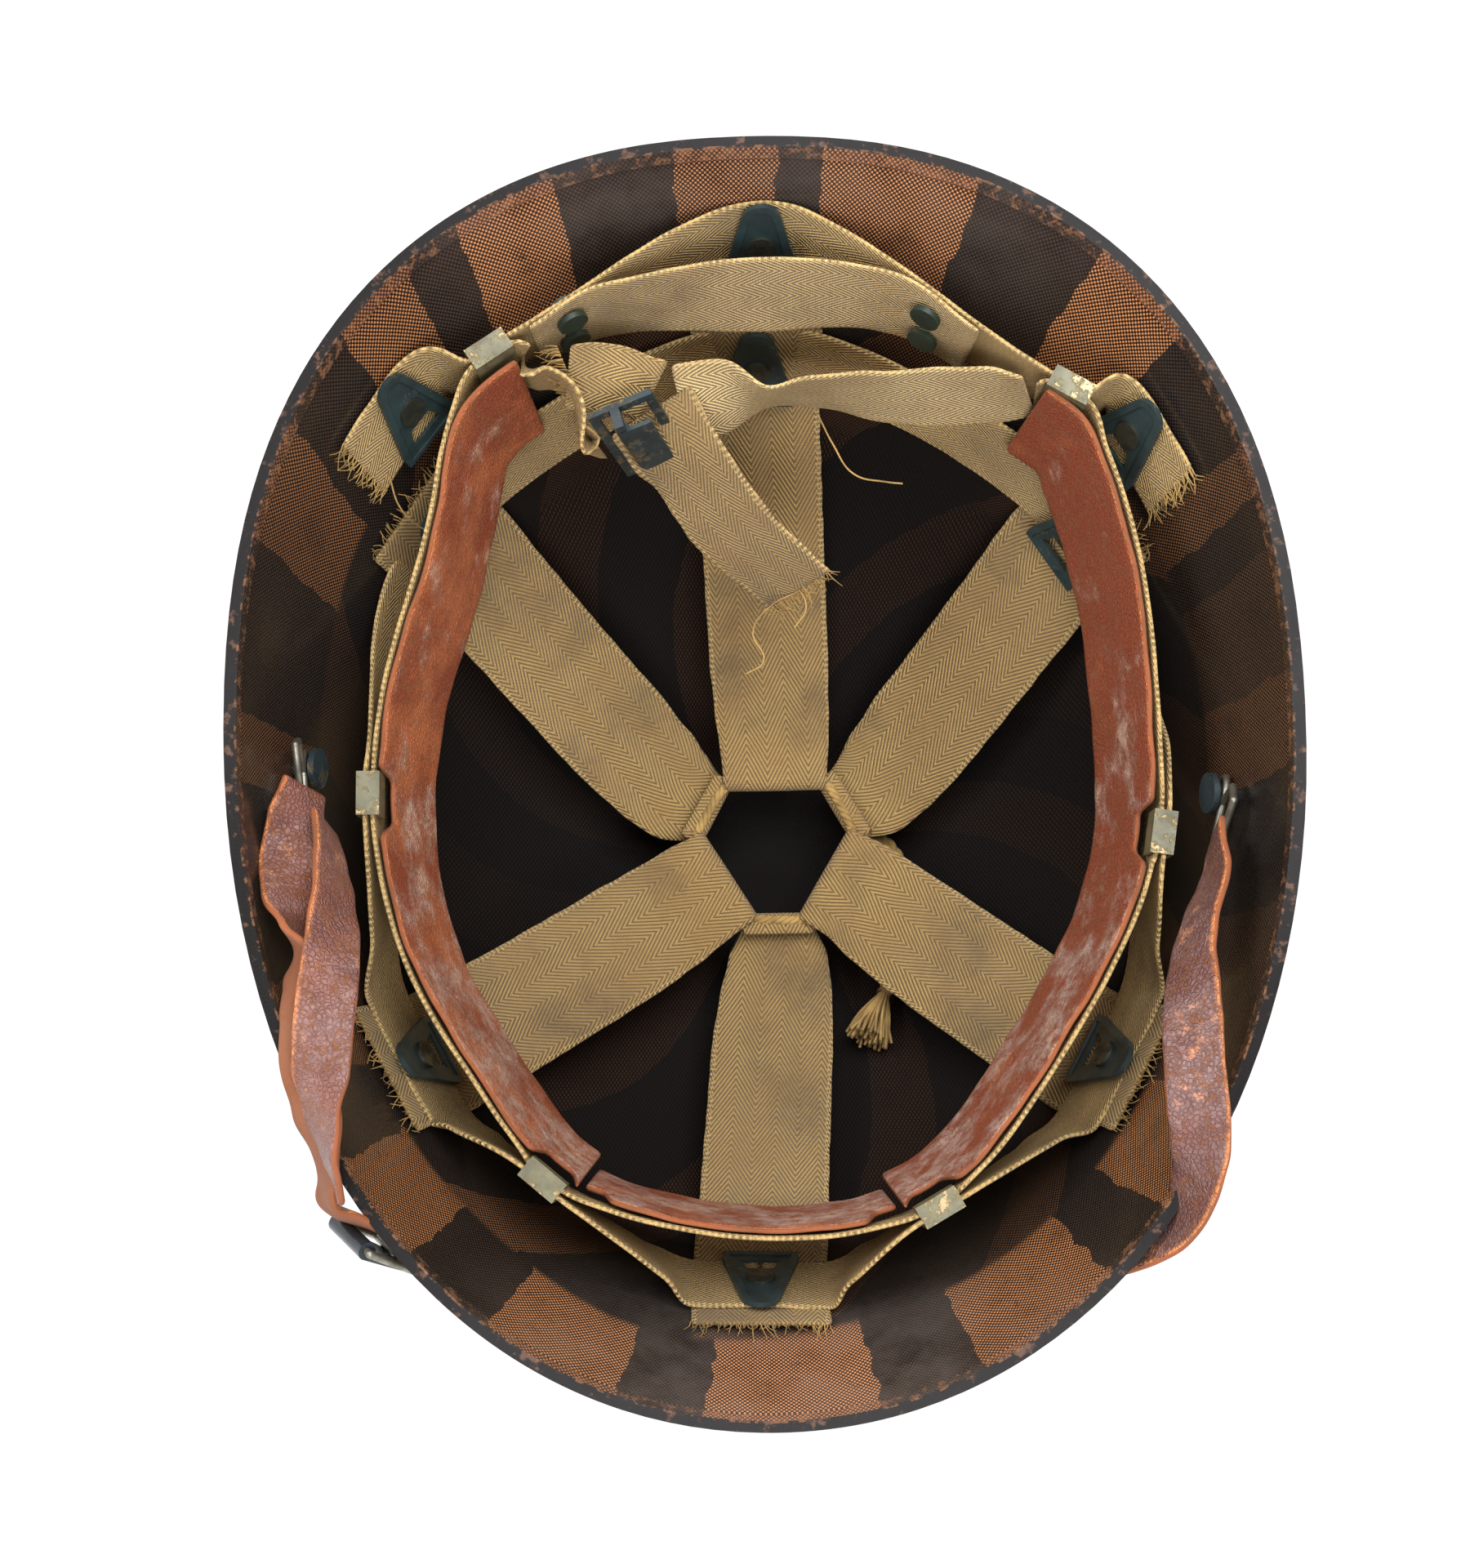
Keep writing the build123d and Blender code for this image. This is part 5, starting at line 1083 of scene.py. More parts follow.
CORD = ThreadFinish("cotton_cord", base=rgb(196, 160, 96))
WASHER = EnamelFinish("washer_enamel", chips=0.12)
STUD = EnamelFinish("stud_enamel", base=rgb(32, 46, 38), chips=0.15)
CLIP = EnamelFinish("clip_enamel", base=rgb(112, 108, 80), under=rgb(156, 138, 104), chips=0.4, gloss=0.4)
BUCKLE = EnamelFinish("buckle_enamel", base=rgb(40, 52, 56), chips=0.35)
LEVER = EnamelFinish("lever_enamel", base=rgb(28, 36, 42), chips=0.15, gloss=0.3)
RIVET = MetalFinish("rivet_metal", base=rgb(96, 98, 88), tarnish=rgb(40, 46, 42), amount=0.8)
WIRE = MetalFinish("wire_metal")


def only(piece: bpy.types.Object) -> None:
    """Make one piece the only selected and active one."""
    bpy.ops.object.select_all(action="DESELECT")
    piece.select_set(True)
    bpy.context.view_layer.objects.active = piece


def finished(piece: bpy.types.Object, kind: str, **settings: object) -> None:
    """Add a modifier to a piece and apply it.

    Args:
        piece: The piece.
        kind: The modifier's type.
        **settings: Its properties.
    """
    only(piece)
    modifier = piece.modifiers.new(kind.lower(), kind)
    for key, value in settings.items():
        setattr(modifier, key, value)
    bpy.ops.object.modifier_apply(modifier=modifier.name)


def smooth_shaded(piece: bpy.types.Object) -> None:
    """Shade every face of a piece smooth."""
    piece.data.polygons.foreach_set("use_smooth", [True] * len(piece.data.polygons))


def new_curve(name: str, radius: float, rounding: int, steps: int = 12) -> bpy.types.Curve:
    """Curve with a round section.

    Args:
        name: Its name.
        radius: Radius of the section, in mm.
        rounding: Steps round a quarter of the section, beyond the first.
        steps: Steps from point to point.

    Returns:
        The curve.
    """
    curve = bpy.data.curves.new(name, "CURVE")
    curve.dimensions = "3D"
    curve.bevel_depth = radius * MM
    curve.bevel_resolution = rounding
    curve.resolution_u = steps
    return curve


def thread(curve: bpy.types.Curve, places: Sequence[Sequence[float]], thinning: float = 0.0) -> None:
    """Lay one soft thread through its points.

    Args:
        curve: The curve that holds it.
        places: The points, in mm.
        thinning: What each further point takes off the share of the radius.
    """
    spline = curve.splines.new("BEZIER")
    spline.bezier_points.add(len(places) - 1)
    for index, (point, place) in enumerate(zip(spline.bezier_points, places)):
        point.co = Vector(place) * MM
        point.handle_left_type = point.handle_right_type = "AUTO"
        point.radius = 1.0 - thinning * index


def meshed(curve: bpy.types.Curve, finish: Finish, finishes: Finishes) -> bpy.types.Object:
    """Turn a curve into a mesh piece with its material.

    Args:
        curve: The curve.
        finish: The piece's finish.
        finishes: The materials.

    Returns:
        The piece.
    """
    piece = bpy.data.objects.new(curve.name, curve)
    bpy.context.scene.collection.objects.link(piece)
    only(piece)
    bpy.ops.object.convert(target="MESH")
    piece = bpy.context.object
    piece.data.materials.append(finishes.get(finish))
    smooth_shaded(piece)
    log.info("%s: %d faces", piece.name, len(piece.data.polygons))
    return piece


def smooth_path(places: Sequence[Vector], shares: Sequence[Vector], step: float,
                ) -> tuple[list[Vector], list[Vector], list[float]]:
    """Smooth curve through a strap's stations.

    Args:
        places: Middles of the strap.
        shares: Direction of the width, and the width as its length.
        step: Distance between the points of the curve.

    Returns:
        Points, width vectors and distances from the start.
    """
    points, widths = [], []
    last = len(places) - 1
    for index in range(last):
        run = (places[index + 1] - places[index]).length
        count = max(1, round(run / step))
        before = places[max(index - 1, 0)]
        after = places[min(index + 2, last)]
        start, end = places[index], places[index + 1]
        arriving = end - before if index else end - start
        leaving = after - start if index + 2 <= last else end - start
        arriving = arriving.normalized() * run
        leaving = leaving.normalized() * run
        for number in range(count + (index == last - 1)):
            t = number / count
            square, cube = t * t, t * t * t
            points.append(start * (2 * cube - 3 * square + 1) + arriving * (cube - 2 * square + t)
                          + end * (3 * square - 2 * cube) + leaving * (cube - square))
            widths.append(shares[index].lerp(shares[index + 1], 3 * square - 2 * cube))
    reach = [0.0]
    for first, second in zip(points, points[1:]):
        reach.append(reach[-1] + (second - first).length)
    return points, widths, reach


@dataclass
class Strap:
    """Strip of webbing or leather laid through its stations. Lengths are in mm."""

    name: str
    body: str
    rows: Sequence[Row]
    width: float
    thickness: float
    finish: Finish
    slot: str
    stands_for: tuple[str, ...] = ()
    flesh: Finish | None = None
    raw_edge: Finish | None = None
    side: Side = Side.FRONT
    columns: int = 10
    step: float = 2.0
    ripple: float = 0.25
    edge_wave: float = 0.25
    wave_length: float = 9.0
    wave_tilt: float = 1.2
    rub_length: float = 5.0
    edges: Callable[[float, float], tuple[float, float]] | None = None
    seed: int = 1

    def stations(self) -> tuple[list[Vector], list[Vector], list[float]]:
        """The strap's smooth line.

        Returns:
            Points, width vectors and distances along the strap, in mm.
        """
        places = [Vector(row[:3]) for row in self.rows]
        shares = []
        for row in self.rows:
            across = Vector(row[3:6]).normalized() * (row[6] if len(row) > 6 else self.width)
            if shares and across.dot(shares[-1]) < 0.0:
                across = -across
            shares.append(across)
        return smooth_path(places, shares, self.step)

    def build(self, finishes: Finishes) -> bpy.types.Object:
        """Lay the strap and dress it.

        Args:
            finishes: The materials.

        Returns:
            The strap.
        """
        points, widths, reach = self.stations()
        last = len(points) - 1
        bpy.ops.object.select_all(action="DESELECT")
        bpy.ops.mesh.primitive_grid_add(x_subdivisions=self.columns, y_subdivisions=last, size=1.0)
        strap = bpy.context.object
        strap.name = self.name
        strap.data.name = self.name
        mesh = strap.data
        cut = {}
        for vertex in mesh.vertices:
            share = vertex.co.x
            row = round((vertex.co.y + 0.5) * last)
            along = (points[min(row + 1, last)] - points[max(row - 1, 0)]).normalized()
            across = widths[row] - along * widths[row].dot(along)
            wide = widths[row].length
            across = across.normalized()
            normal = along.cross(across).normalized()
            low, high = -wide / 2, wide / 2
            if self.edges:
                low, high = self.edges(reach[row], reach[last])
            place = (low + high) / 2 + share * (high - low)
            wave = noise.noise(Vector((reach[row] / self.wave_length, share * self.wave_tilt,
                                       self.seed * WAVE_SEED_STEP)))
            rub = noise.noise(Vector((reach[row] / self.rub_length, math.copysign(RUB_SIDE, share),
                                      self.seed * RUB_SEED_STEP)))
            place += rub * self.edge_wave * abs(share) * 2.0
            lift = wave * self.ripple
            cut[vertex.index] = (0.5 + place * MM, reach[row] * MM)
            vertex.co = (points[row] + across * place + normal * lift) * MM
        layer = mesh.uv_layers.active or mesh.uv_layers.new(name="cut")
        for loop in mesh.loops:
            layer.data[loop.index].uv = cut[loop.vertex_index]
        mesh.materials.append(finishes.get(self.finish))
        if self.flesh:
            mesh.materials.append(finishes.get(self.flesh))
            mesh.materials.append(finishes.get(self.raw_edge or self.flesh))
        if self.side is Side.BACK:
            mesh.flip_normals()
        finished(strap, "SOLIDIFY", thickness=self.thickness * MM, offset=0.0,
                 material_offset=1 if self.flesh else 0, material_offset_rim=2 if self.flesh else 0)
        finished(strap, "SUBSURF", levels=1, render_levels=1)
        smooth_shaded(strap)
        strap.data.update()
        self.dress(strap)
        return strap

    def dress(self, strap: bpy.types.Object) -> None:
        """Ride the strap on its body in place of its solids.

        Args:
            strap: The strap.
        """
        if self.stands_for:
            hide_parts(*self.stands_for)
        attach(strap, self.body)
        log.info("%s: %d faces", self.name, len(strap.data.polygons))


def wrapped_end(rows: Sequence[Row], radius: float, down: float, leg: float) -> tuple[Row, ...]:
    """Rows of a strap with its last end turned round the crown cord.

    Args:
        rows: The strap's rows, ending at the cord.
        radius: Radius of the turn, in mm.
        down: -1 to turn towards the crown, 1 to turn towards the opening.
        leg: Length of the folded end, in mm.

    Returns:
        The rows with the turn and the folded end.
    """
    end = Vector(rows[-1][:3])
    ahead = (end - Vector(rows[-2][:3])).normalized()
    lift = UP * down
    result = list(rows)
    for angle in (30.0, 60.0, 90.0, 120.0, 150.0, 180.0):
        turn = math.radians(angle)
        place = end + ahead * radius * math.sin(turn) + lift * radius * (1.0 - math.cos(turn))
        result.append((*place, *rows[-1][3:]))
    for share in (0.5, 1.0):
        place = end + lift * radius * 2.0 - ahead * leg * share - lift * share * 0.4
        result.append((*place, *rows[-1][3:6], rows[-1][6] - share))
    return tuple(result)


def leant(rows: Sequence[Row], half_width: float, share: float) -> tuple[Row, ...]:
    """Rows of a band turned about its upper edge.

    Args:
        rows: The band's rows.
        half_width: Half its width, in mm.
        share: What is left of its lean.

    Returns:
        The turned rows.
    """
    result = []
    for row in rows:
        across = Vector(row[3:6]).normalized()
        top = Vector(row[:3]) + across * half_width
        across = Vector((across.x * share, across.y * share, across.z)).normalized()
        result.append((*(top - across * half_width), *across))
    return tuple(result)


def notched(strap: Strap, clips: Sequence[tuple[float, float]], half_clip: float, depth: float,
            ) -> Callable[[float, float], tuple[float, float]]:
    """Edges of a band that is cut away at its top where clips sit.

    Args:
        strap: The band.
        clips: Places of the clips, seen from above, in mm.
        half_clip: Half the width of a cut.
        depth: Depth of a cut.

    Returns:
        A function of the distance along the band that gives its lower and upper edge.
    """
    points, _, reach = strap.stations()
    cuts = []
    for clip in clips:
        near = min(range(len(points)), key=lambda index: math.dist(points[index][:2], clip))
        if math.dist(points[near][:2], clip) < strap.width:
            cuts.append(reach[near])
    half = strap.width / 2

    def edges(along: float, _: float) -> tuple[float, float]:
        """Lower and upper edge at a distance along the band."""
        cut = any(abs(along - place) < half_clip for place in cuts)
        return -half, half - depth * cut

    return edges


@dataclass
class Fringe:
    """Frayed threads along the cut end of a strap. Lengths are in mm."""

    name: str
    body: str
    strap: Strap
    at_end: bool = True
    count: int = 46
    length: float = 5.0
    radius: float = 0.2
    root_depth: float = 0.8
    root_spread: float = 0.4
    lean_across: float = 0.5
    lean_out: float = 0.45
    shortest_share: float = 0.35
    bend_share: float = 0.25
    thinning: float = 0.3
    seed: int = 3

    def build(self, finishes: Finishes) -> bpy.types.Object:
        """Grow the threads and dress them.

        Args:
            finishes: The materials.

        Returns:
            The fringe.
        """
        chance = random.Random(self.seed)
        points, widths, _ = self.strap.stations()
        if not self.at_end:
            points, widths = points[::-1], widths[::-1]
        tip, across = points[-1], widths[-1]
        outward = (tip - points[-2]).normalized()
        normal = outward.cross(across).normalized()
        flat = across.normalized()
        curve = new_curve(self.name, self.radius, 0, 3)
        for number in range(self.count):
            share = (number + chance.random()) / self.count - 0.5
            root = (tip + across * share - outward * self.root_depth
                    + normal * chance.uniform(-self.root_spread, self.root_spread))
            lean = (flat * chance.uniform(-self.lean_across, self.lean_across)
                    + normal * chance.uniform(-self.lean_out, self.lean_out))
            reach = self.length * chance.uniform(self.shortest_share, 1.0)
            bend = normal * chance.uniform(-1.0, 1.0) + flat * chance.uniform(-1.0, 1.0)
            thread(curve, (root, root + (outward + lean * 0.5) * reach * 0.5,
                           root + (outward + lean) * reach + bend * reach * self.bend_share), self.thinning)
        fringe = meshed(curve, THREAD, finishes)
        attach(fringe, self.body)
        return fringe


@dataclass
class LooseThreads:
    """Long threads that have come out of the webbing."""

    radius: float = 0.22

    def build(self, finishes: Finishes) -> None:
        """Lay the threads of each body.

        Args:
            finishes: The materials.
        """
        for body in sorted({row[0] for row in LOOSE_THREADS}):
            curve = new_curve(f"loose_threads_{body}", self.radius, 1, 8)
            for owner, places in LOOSE_THREADS:
                if owner == body:
                    thread(curve, places)
            threads = meshed(curve, THREAD, finishes)
            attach(threads, body)


@dataclass
class Suspension:
    """Webbing riveted to the shell: six crown straps, two bands and the nape strap."""

    crown_width: float = 32.0
    band_width: float = 22.0
    nape_width: float = 24.0
    thickness: float = 1.2
    fold_radius: float = 2.5
    upper_leg: float = 7.0
    lower_leg: float = 3.0

    def crown_straps(self) -> list[Strap]:
        """The six crown straps, three folded under the cord and three over it.

        Returns:
            The straps.
        """
        upper = (("rear", CROWN_STRAP_REAR), ("left_front", CROWN_STRAP_LEFT_FRONT),
                 ("right_front", CROWN_STRAP_RIGHT_FRONT))
        lower = (("left_rear", CROWN_STRAP_LEFT_REAR), ("front", CROWN_STRAP_FRONT),
                 ("right_rear", CROWN_STRAP_RIGHT_REAR))
        straps = []
        for number, (place, rows) in enumerate(upper + lower):
            down = -1.0 if number < len(upper) else 1.0
            leg = self.upper_leg if number < len(upper) else self.lower_leg
            straps.append(Strap(
                f"crown_webbing_{place}", "helmet", wrapped_end(rows, self.fold_radius, down, leg),
                self.crown_width, self.thickness, WEBBING_WIDE, "webbing", (f"crown_strap_{place}",),
                columns=14, ripple=0.3, edge_wave=0.3, seed=number + 1))
        return straps

    def bands(self) -> list[Strap]:
        """The suspension band, the nape band and the nape strap.

        Returns:
            The straps.
        """
        return [
            Strap("suspension_webbing", "helmet", SUSPENSION_BAND, self.band_width, self.thickness,
                  WEBBING_BAND, "webbing", ("suspension_band",), ripple=0.15, edge_wave=0.25, seed=11),
            Strap("nape_webbing", "helmet", NAPE_BAND, self.band_width, self.thickness, WEBBING_BAND,
                  "webbing", ("nape_band",), ripple=0.2, edge_wave=0.3, seed=12),
            Strap("nape_strap_webbing", "helmet", NAPE_STRAP, self.nape_width, self.thickness,
                  WEBBING_DIRTY, "webbing", ("nape_strap",), ripple=0.2, edge_wave=0.2, seed=13)]

    def build(self, finishes: Finishes) -> None:
        """Build all the webbing that stays on the shell.

        Args:
            finishes: The materials.
        """
        for number, strap in enumerate(self.crown_straps()):
            strap.build(finishes)
            Fringe(f"{strap.name}_fray", "helmet", strap, at_end=False, count=60, length=5.0,
                   seed=20 + number).build(finishes)
        for number, strap in enumerate(self.bands()):
            strap.build(finishes)
            if strap.name == "nape_webbing":
                for at_end in (False, True):
                    Fringe(f"{strap.name}_fray_{int(at_end)}", "helmet", strap, at_end=at_end, count=50,
                           length=5.5, seed=40 + number).build(finishes)


@dataclass
class Headband:
    """Webbing headband with its leather sweatband, rear webbing and clips."""

    webbing_width: float = 22.0
    leather_width: float = 38.0
    webbing_thickness: float = 1.2
    leather_thickness: float = 1.5
    leather_lean: float = 0.62
    front_lean: float = 0.3
    flap_width: float = 17.0
    notch: float = 9.0
    half_clip: float = 5.8
    clips: tuple[tuple[float, float], ...] = ((-88.7, 2.8), (-50.5, -83.9), (36.8, -91.6), (89.3, -9.6))

    def straps(self) -> list[Strap]:
        """The webbing of the headband.

        Returns:
            The straps.
        """
        ring = tuple((*row, 0.0, 0.0, 1.0) for row in HEADBAND_WEBBING)
        return [
            Strap("headband_ring", "headband", ring, self.webbing_width, self.webbing_thickness, WEBBING_BAND,
                  "webbing", ("headband_webbing",), ripple=0.1, edge_wave=0.2, seed=31),
            Strap("headband_left_webbing", "headband", HEADBAND_LEFT_WEB, self.webbing_width,
                  self.webbing_thickness, WEBBING_BAND, "webbing", ("headband_left_web",), ripple=0.2,
                  seed=32),
            Strap("headband_right_webbing", "headband", RIGHT_WEB, self.webbing_width, self.webbing_thickness,
                  WEBBING_CLEAN, "webbing", ("headband_right_web",), ripple=0.3, seed=33),
            Strap("headband_left_flap", "headband", LEFT_FLAP, self.flap_width, self.webbing_thickness,
                  WEBBING_BAND, "webbing", ripple=0.6, edge_wave=0.8, seed=35),
            Strap("headband_tail", "headband", TAIL_WEB, self.webbing_width, self.webbing_thickness,
                  WEBBING_TAIL, "webbing", ("headband_tail_web",), ripple=0.5, edge_wave=0.7, seed=34)]

    def leathers(self) -> list[Strap]:
        """The three lengths of the sweatband.

        Returns:
            The straps.
        """
        result = []
        lengths = (("left", HEADBAND_LEATHER_LEFT), ("front", HEADBAND_LEATHER_FRONT),
                   ("right", HEADBAND_LEATHER_RIGHT))
        for number, (place, rows) in enumerate(lengths):
            lean = self.front_lean if place == "front" else self.leather_lean
            band = Strap(
                f"sweatband_{place}", "headband", leant(rows, self.leather_width / 2, lean),
                self.leather_width, self.leather_thickness, SWEATBAND,
                "sweatband_leather", (f"headband_leather_{place}",), flesh=FLESH, raw_edge=LEATHER_EDGE,
                columns=12, ripple=0.5, edge_wave=0.25, seed=41 + number)
            band.edges = notched(band, self.clips, self.half_clip, self.notch)
            result.append(band)
        return result

    def build(self, finishes: Finishes) -> None:
        """Build the headband's soft pieces.

        Args:
            finishes: The materials.
        """
        for strap in self.straps() + self.leathers():
            strap.build(finishes)
            if strap.name in ("headband_tail", "headband_left_flap"):
                Fringe(f"{strap.name}_fray", "headband", strap, count=46, length=6.0, seed=51).build(finishes)
        LooseThreads().build(finishes)


@dataclass
class Chinstrap:
    """Leather chinstrap over the visor, with its loops and buckle."""

    width: float = 13.0
    thickness: float = 1.7

    def build(self, finishes: Finishes) -> None:
        """Build the strap's two lengths.

        Args:
            finishes: The materials.
        """
        Strap("chinstrap_leather", "helmet", CHINSTRAP_LONG, self.width, self.thickness, CHIN_GRAIN,
              "strap_leather", ("chinstrap_long", "chinstrap_left_end"), flesh=CHIN_FLESH,
              raw_edge=LEATHER_EDGE, side=Side.BACK, columns=8, step=1.6, ripple=0.3, edge_wave=0.3,
              seed=61).build(finishes)
        Strap("chinstrap_return_leather", "helmet", CHINSTRAP_RETURN, self.width, self.thickness, CHIN_GRAIN,
              "strap_leather", ("chinstrap_return",), flesh=CHIN_FLESH, raw_edge=LEATHER_EDGE,
              columns=8, step=1.6, ripple=0.3, edge_wave=0.3, seed=62).build(finishes)


@dataclass
class Lacing:
    """Cord through the crown straps, with its knot, braided tail and tassel. Lengths are in mm."""

    centre: tuple[float, float, float] = (4.5, 0.5, 28.0)
    cord_diameter: float = 2.8
    tail_diameter: float = 3.6
    lines: tuple[float, ...] = (29.0, 90.0, 151.0, 212.0, 270.0, 328.0)
    lower_lines: tuple[float, ...] = (29.0, 151.0, 270.0)
    upper_reach: float = 17.6
    lower_reach: float = 20.4
    run_shares: tuple[float, ...] = (0.35, 0.96)
    strand_swing: float = 0.48
    braid_lift: float = 0.55
    knot_points: int = 60
    knot_size: float = 0.85
    knot_cord_share: float = 0.8
    tassel_length: float = 15.0
    tassel_radius: float = 6.5
    tassel_root_radius: float = 1.2
    tassel_turn: float = 2.4
    strand_radius: float = 0.42
    strands: int = 54
    seed: int = 9

    def traced(self, places: Sequence[Sequence[float]], closed: bool) -> list[Vector]:
        """Points along a smooth line.

        Args:
            places: The line's route, in mm.
            closed: Whether the line joins its start.

        Returns:
            The points, in metres.
        """
        line = bpy.data.curves.new("cord_line", "CURVE")
        line.dimensions = "3D"
        spline = line.splines.new("NURBS")
        spline.points.add(len(places) - 1)
        for point, place in zip(spline.points, places):
            point.co = (*(Vector(place) * MM), 1.0)
        spline.order_u = 3
        spline.use_cyclic_u = closed
        spline.use_endpoint_u = not closed
        line.resolution_u = 16
        holder = bpy.data.objects.new("cord_line", line)
        bpy.context.scene.collection.objects.link(holder)
        bpy.context.view_layer.update()
        traced = bpy.data.meshes.new_from_object(holder)
        path = [vertex.co.copy() for vertex in traced.vertices]
        bpy.data.objects.remove(holder)
        bpy.data.meshes.remove(traced)
        return path

    def laid(self, name: str, path: Sequence[Vector], closed: bool, diameter: float, lay: Lay,
             finishes: Finishes) -> bpy.types.Object:
        """Three strands laid along a line.

        Args:
            name: The piece's name.
            path: The line's points, in metres.
            closed: Whether the line joins its start.
            diameter: Diameter of the whole, in mm.
            lay: How the strands go round each other.
            finishes: The materials.

        Returns:
            The cord.
        """
        strand_share, pitch, widen = lay.value
        curve = new_curve(name, diameter / 2 * strand_share, 2)
        last = len(path) - 1
        reach = [0.0]
        for first, second in zip(path, list(path[1:]) + [path[0]]):
            reach.append(reach[-1] + (second - first).length)
        whole = reach[-1] if closed else reach[-2]
        turns = max(1, round(whole / (diameter * pitch * MM)))
        swing = diameter / 2 * self.strand_swing * MM
        for strand in range(3):
            spline = curve.splines.new("POLY")
            spline.points.add(last)
            spline.use_cyclic_u = closed
            for index, place in enumerate(path):
                after = path[(index + 1) % len(path)] if closed else path[min(index + 1, last)]
                before = path[index - 1] if closed else path[max(index - 1, 0)]
                ahead = (after - before).normalized()
                aside = ahead.cross(UP).normalized()
                above = aside.cross(ahead)
                turn = reach[index] / whole * turns * math.tau + strand * math.tau / 3
                lift = math.sin(turn * 2.0) * self.braid_lift if lay is Lay.BRAIDED else math.sin(turn)
                spline.points[index].co = (*(place + aside * math.cos(turn) * swing * widen
                                             + above * lift * swing), 1.0)
        return meshed(curve, CORD, finishes)

    def knot(self, finishes: Finishes) -> bpy.types.Object:
        """The trefoil knot where the ring's ends meet.

        Args:
            finishes: The materials.

        Returns:
            The knot.
        """
        path = []
        for number in range(self.knot_points):
            turn = number / self.knot_points * math.tau
            path.append((Vector(CORD_TAIL[0]) + Vector((
                math.sin(turn) + 2.0 * math.sin(2.0 * turn), math.cos(turn) - 2.0 * math.cos(2.0 * turn),
                -1.4 * math.sin(3.0 * turn))) * self.knot_size) * MM)
        return self.laid("crown_cord_knot", path, True, self.cord_diameter * self.knot_cord_share,
                         Lay.TWISTED, finishes)

    def ring(self, finishes: Finishes) -> bpy.types.Object:
        """The twisted cord through the six folds, with its knot.

        Args:
            finishes: The materials.

        Returns:
            The ring.
        """
        places = []
        for angle, next_angle in zip(self.lines, self.lines[1:] + (self.lines[0] + 360.0,)):
            reach, after = (self.upper_reach, self.lower_reach)
            if angle in self.lower_lines:
                reach, after = after, reach
            turn = math.radians(next_angle - angle)
            run = (after - reach * math.cos(turn)) / math.sin(turn)
            out = Vector((math.cos(math.radians(angle)), math.sin(math.radians(angle)), 0.0))
            aside = Vector((-out.y, out.x, 0.0))
            for share in self.run_shares:
                places.append(tuple(Vector(self.centre) + out * reach + aside * run * share))
        ring = self.laid("crown_cord_twist", self.traced(places, True), True, self.cord_diameter, Lay.TWISTED,
                         finishes)
        knot = self.knot(finishes)
        only(ring)
        knot.select_set(True)
        bpy.ops.object.join()
        return bpy.context.object

    def tassel(self, finishes: Finishes, path: Sequence[Vector]) -> bpy.types.Object:
        """The tail's end combed out into strands.

        Args:
            finishes: The materials.
            path: Points of the tail's line, in metres.

        Returns:
            The tassel.
        """
        chance = random.Random(self.seed)
        root = path[-1] / MM
        ahead = ((path[-1] - path[-3]) / MM).normalized()
        aside = ahead.cross(UP).normalized()
        above = aside.cross(ahead)
        curve = new_curve("crown_cord_tassel_strands", self.strand_radius, 1)
        for number in range(self.strands):
            turn = number * self.tassel_turn
            spread = math.sqrt((number + 0.5) / self.strands)
            around = (aside * math.cos(turn) + above * math.sin(turn)) * spread
            start = root + around * self.tassel_root_radius
            end = (root + ahead * self.tassel_length * chance.uniform(0.8, 1.0)
                   + around * self.tassel_radius)
            middle = (start + end) / 2 + (aside * chance.uniform(-1, 1) + above * chance.uniform(-1, 1))
            thread(curve, (start, middle, end))
        return meshed(curve, CORD, finishes)

    def build(self, finishes: Finishes) -> None:
        """Args:
            finishes: The materials.
        """
        path = self.traced(CORD_TAIL, False)
        tail = self.laid("crown_cord_tail_braid", path, False, self.tail_diameter, Lay.BRAIDED, finishes)
        tassel = self.tassel(finishes, path)
        ring = self.ring(finishes)
        for piece, node in ((tail, "crown_cord_tail"), (tassel, "crown_cord_tassel"), (ring, "crown_cord")):
            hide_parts(node)
            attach(piece, "helmet")


@dataclass
class Hardware:
    """CAD pieces that keep their shape and get their finish here."""

    finishes_by_word: tuple[tuple[str, Finish], ...] = (
        ("washer", WASHER), ("nape_stud", STUD), ("rivet", RIVET), ("headband_clip", CLIP),
        ("headband_buckle", BUCKLE), ("chinstrap_buckle_lever", LEVER), ("chinstrap_buckle_frame", WIRE),
        ("chinstrap_loop", WIRE), ("chinstrap_stud", BUCKLE), ("rim_binding", RIM_EDGE),
        ("liner_shell", LAMINATE))
    sharp_angle: float = 35.0

    def build(self, finishes: Finishes, nodes: dict[str, bpy.types.Object]) -> None:
        """Give every CAD node that stays in sight its material.

        Args:
            finishes: The materials.
            nodes: The CAD nodes by name.
        """
        for name, node in nodes.items():
            if node.hide_render:
                continue
            for word, finish in self.finishes_by_word:
                if word in name:
                    node.data.materials.clear()
                    node.data.materials.append(finishes.get(finish))
                    break
            else:
                log.warning("no finish for %s", name)
            only(node)
            bpy.ops.object.shade_smooth_by_angle(angle=math.radians(self.sharp_angle))
            log.info("%s keeps its shape", name)


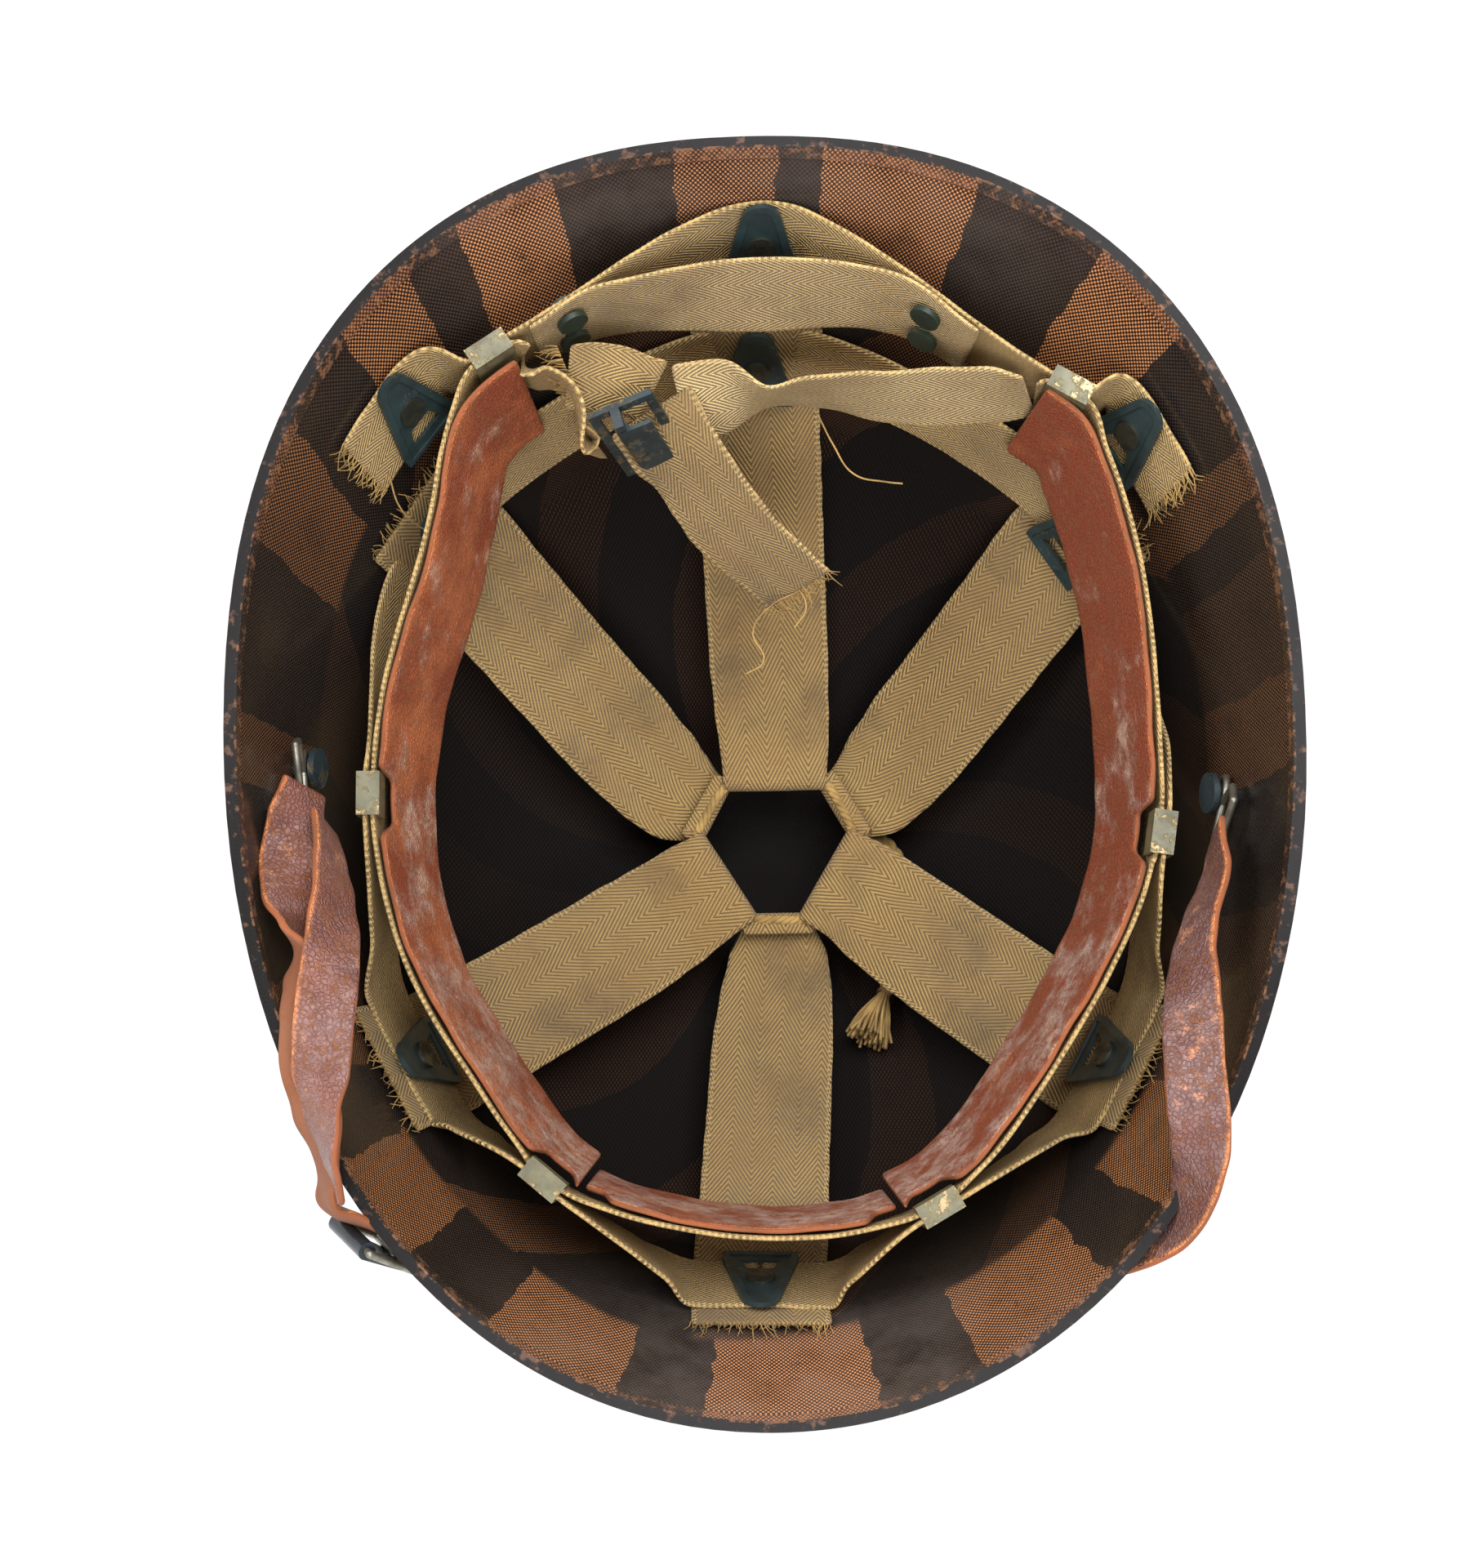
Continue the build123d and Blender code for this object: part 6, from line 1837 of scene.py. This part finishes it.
@dataclass
class Studio:
    """Floor, soft lights and the camera over the opening. The camera's lengths are in mm."""

    target: tuple[float, float, float] = (-7.46, -1.3, 160.0)
    distance: float = 500.0
    elevation: float = 82.0
    roll: float = -1.17
    pixels_per_unit: float = 2874.6
    long_side: float = 1920.0
    film_height: float = 36.0
    nearest: float = 0.01
    lamps: tuple[tuple[str, tuple[float, float, float], float, float], ...] = (
        ("lamp_over", (0.2, 0.45, 1.45), 1.0, 24.0),
        ("lamp_front", (0.1, -1.0, 1.2), 0.9, 16.0),
        ("lamp_side", (-1.1, 0.5, 1.1), 0.7, 12.0))
    lit_height: float = 0.1
    world_light: float = 0.55
    floor_side: float = 6.0
    floor_drop: float = 0.0005
    floor_tone: float = 0.86
    floor_glow: float = 0.8

    def camera(self) -> None:
        """Put the camera where the photograph was taken from."""
        rise, roll = math.radians(self.elevation), math.radians(self.roll)
        back = Vector((0.0, -math.cos(rise), math.sin(rise)))
        right = Vector((1.0, 0.0, 0.0))
        up = back.cross(right)
        turned_right = right * math.cos(roll) + up * math.sin(roll)
        turned_up = up * math.cos(roll) - right * math.sin(roll)
        data = bpy.data.cameras.new("camera")
        data.sensor_fit = "VERTICAL"
        data.sensor_height = self.film_height
        data.lens = self.pixels_per_unit / self.long_side * self.film_height
        data.clip_start = self.nearest
        camera = bpy.data.objects.new("camera", data)
        bpy.context.scene.collection.objects.link(camera)
        turn = Matrix((turned_right, turned_up, back)).transposed().to_4x4()
        camera.matrix_world = Matrix.Translation((Vector(self.target) + back * self.distance) * MM) @ turn
        bpy.context.scene.camera = camera

    def lamp(self, name: str, place: tuple[float, float, float], size: float, power: float) -> None:
        """Square soft lamp that looks at the liner.

        Args:
            name: Its name.
            place: Its place in metres.
            size: Its side in metres.
            power: Its power in watts.
        """
        data = bpy.data.lights.new(name, "AREA")
        data.shape = "SQUARE"
        data.size = size
        data.energy = power
        lamp = bpy.data.objects.new(name, data)
        bpy.context.scene.collection.objects.link(lamp)
        lamp.location = place
        ahead = Vector((0.0, 0.0, self.lit_height)) - Vector(place)
        lamp.rotation_euler = ahead.to_track_quat("-Z", "Y").to_euler()

    def floor(self) -> None:
        """Pale floor that shows white to the camera and keeps a soft shadow."""
        bpy.ops.object.select_all(action="DESELECT")
        bpy.ops.mesh.primitive_plane_add(size=self.floor_side, location=(0.0, 0.0, 0.0))
        floor = bpy.context.object
        floor.name = "floor"
        floor.data.transform(Matrix.Translation((0.0, 0.0, -self.floor_drop)))
        material = bpy.data.materials.new("floor_paper")
        material.use_nodes = True
        graph = Graph(material.node_tree)
        shader = material.node_tree.nodes["Principled BSDF"]
        shader.inputs["Base Color"].default_value = (self.floor_tone, self.floor_tone, self.floor_tone, 1.0)
        shader.inputs["Roughness"].default_value = 0.9
        glow = graph.add("ShaderNodeEmission")
        glow.inputs["Strength"].default_value = 1.0
        path = graph.add("ShaderNodeLightPath")
        mixed = graph.add("ShaderNodeMixShader")
        graph.put(mixed.inputs[0], graph.times(path.outputs["Is Camera Ray"], self.floor_glow))
        graph.put(mixed.inputs[1], shader.outputs[0])
        graph.put(mixed.inputs[2], glow.outputs[0])
        graph.put(material.node_tree.nodes["Material Output"].inputs[0], mixed.outputs[0])
        floor.data.materials.append(material)

    def world(self) -> None:
        """White surroundings for the camera and for gloss, and softer light from them."""
        world = bpy.data.worlds.new("studio")
        bpy.context.scene.world = world
        world.use_nodes = True
        graph = Graph(world.node_tree)
        background = world.node_tree.nodes["Background"]
        path = graph.add("ShaderNodeLightPath")
        seen = graph.math("MAXIMUM", path.outputs["Is Camera Ray"], path.outputs["Is Glossy Ray"])
        graph.put(background.inputs["Strength"], graph.line(seen, 1.0 - self.world_light, self.world_light))
        background.inputs["Color"].default_value = (1.0, 1.0, 1.0, 1.0)

    def build(self) -> None:
        """Set the world, the lamps, the floor and the camera."""
        bpy.context.scene.view_settings.view_transform = "Standard"
        self.world()
        for name, place, size, power in self.lamps:
            self.lamp(name, place, size, power)
        self.floor()
        self.camera()


def main() -> None:
    """Build the liner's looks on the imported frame."""
    logging.basicConfig(level=logging.INFO, format="%(name)s %(message)s")
    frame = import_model()
    finishes = Finishes()
    Studio().build()
    Lacing().build(finishes)
    Suspension().build(finishes)
    Headband().build(finishes)
    Chinstrap().build(finishes)
    Hardware().build(finishes, frame["nodes"])


if __name__ == "__main__":
    main()
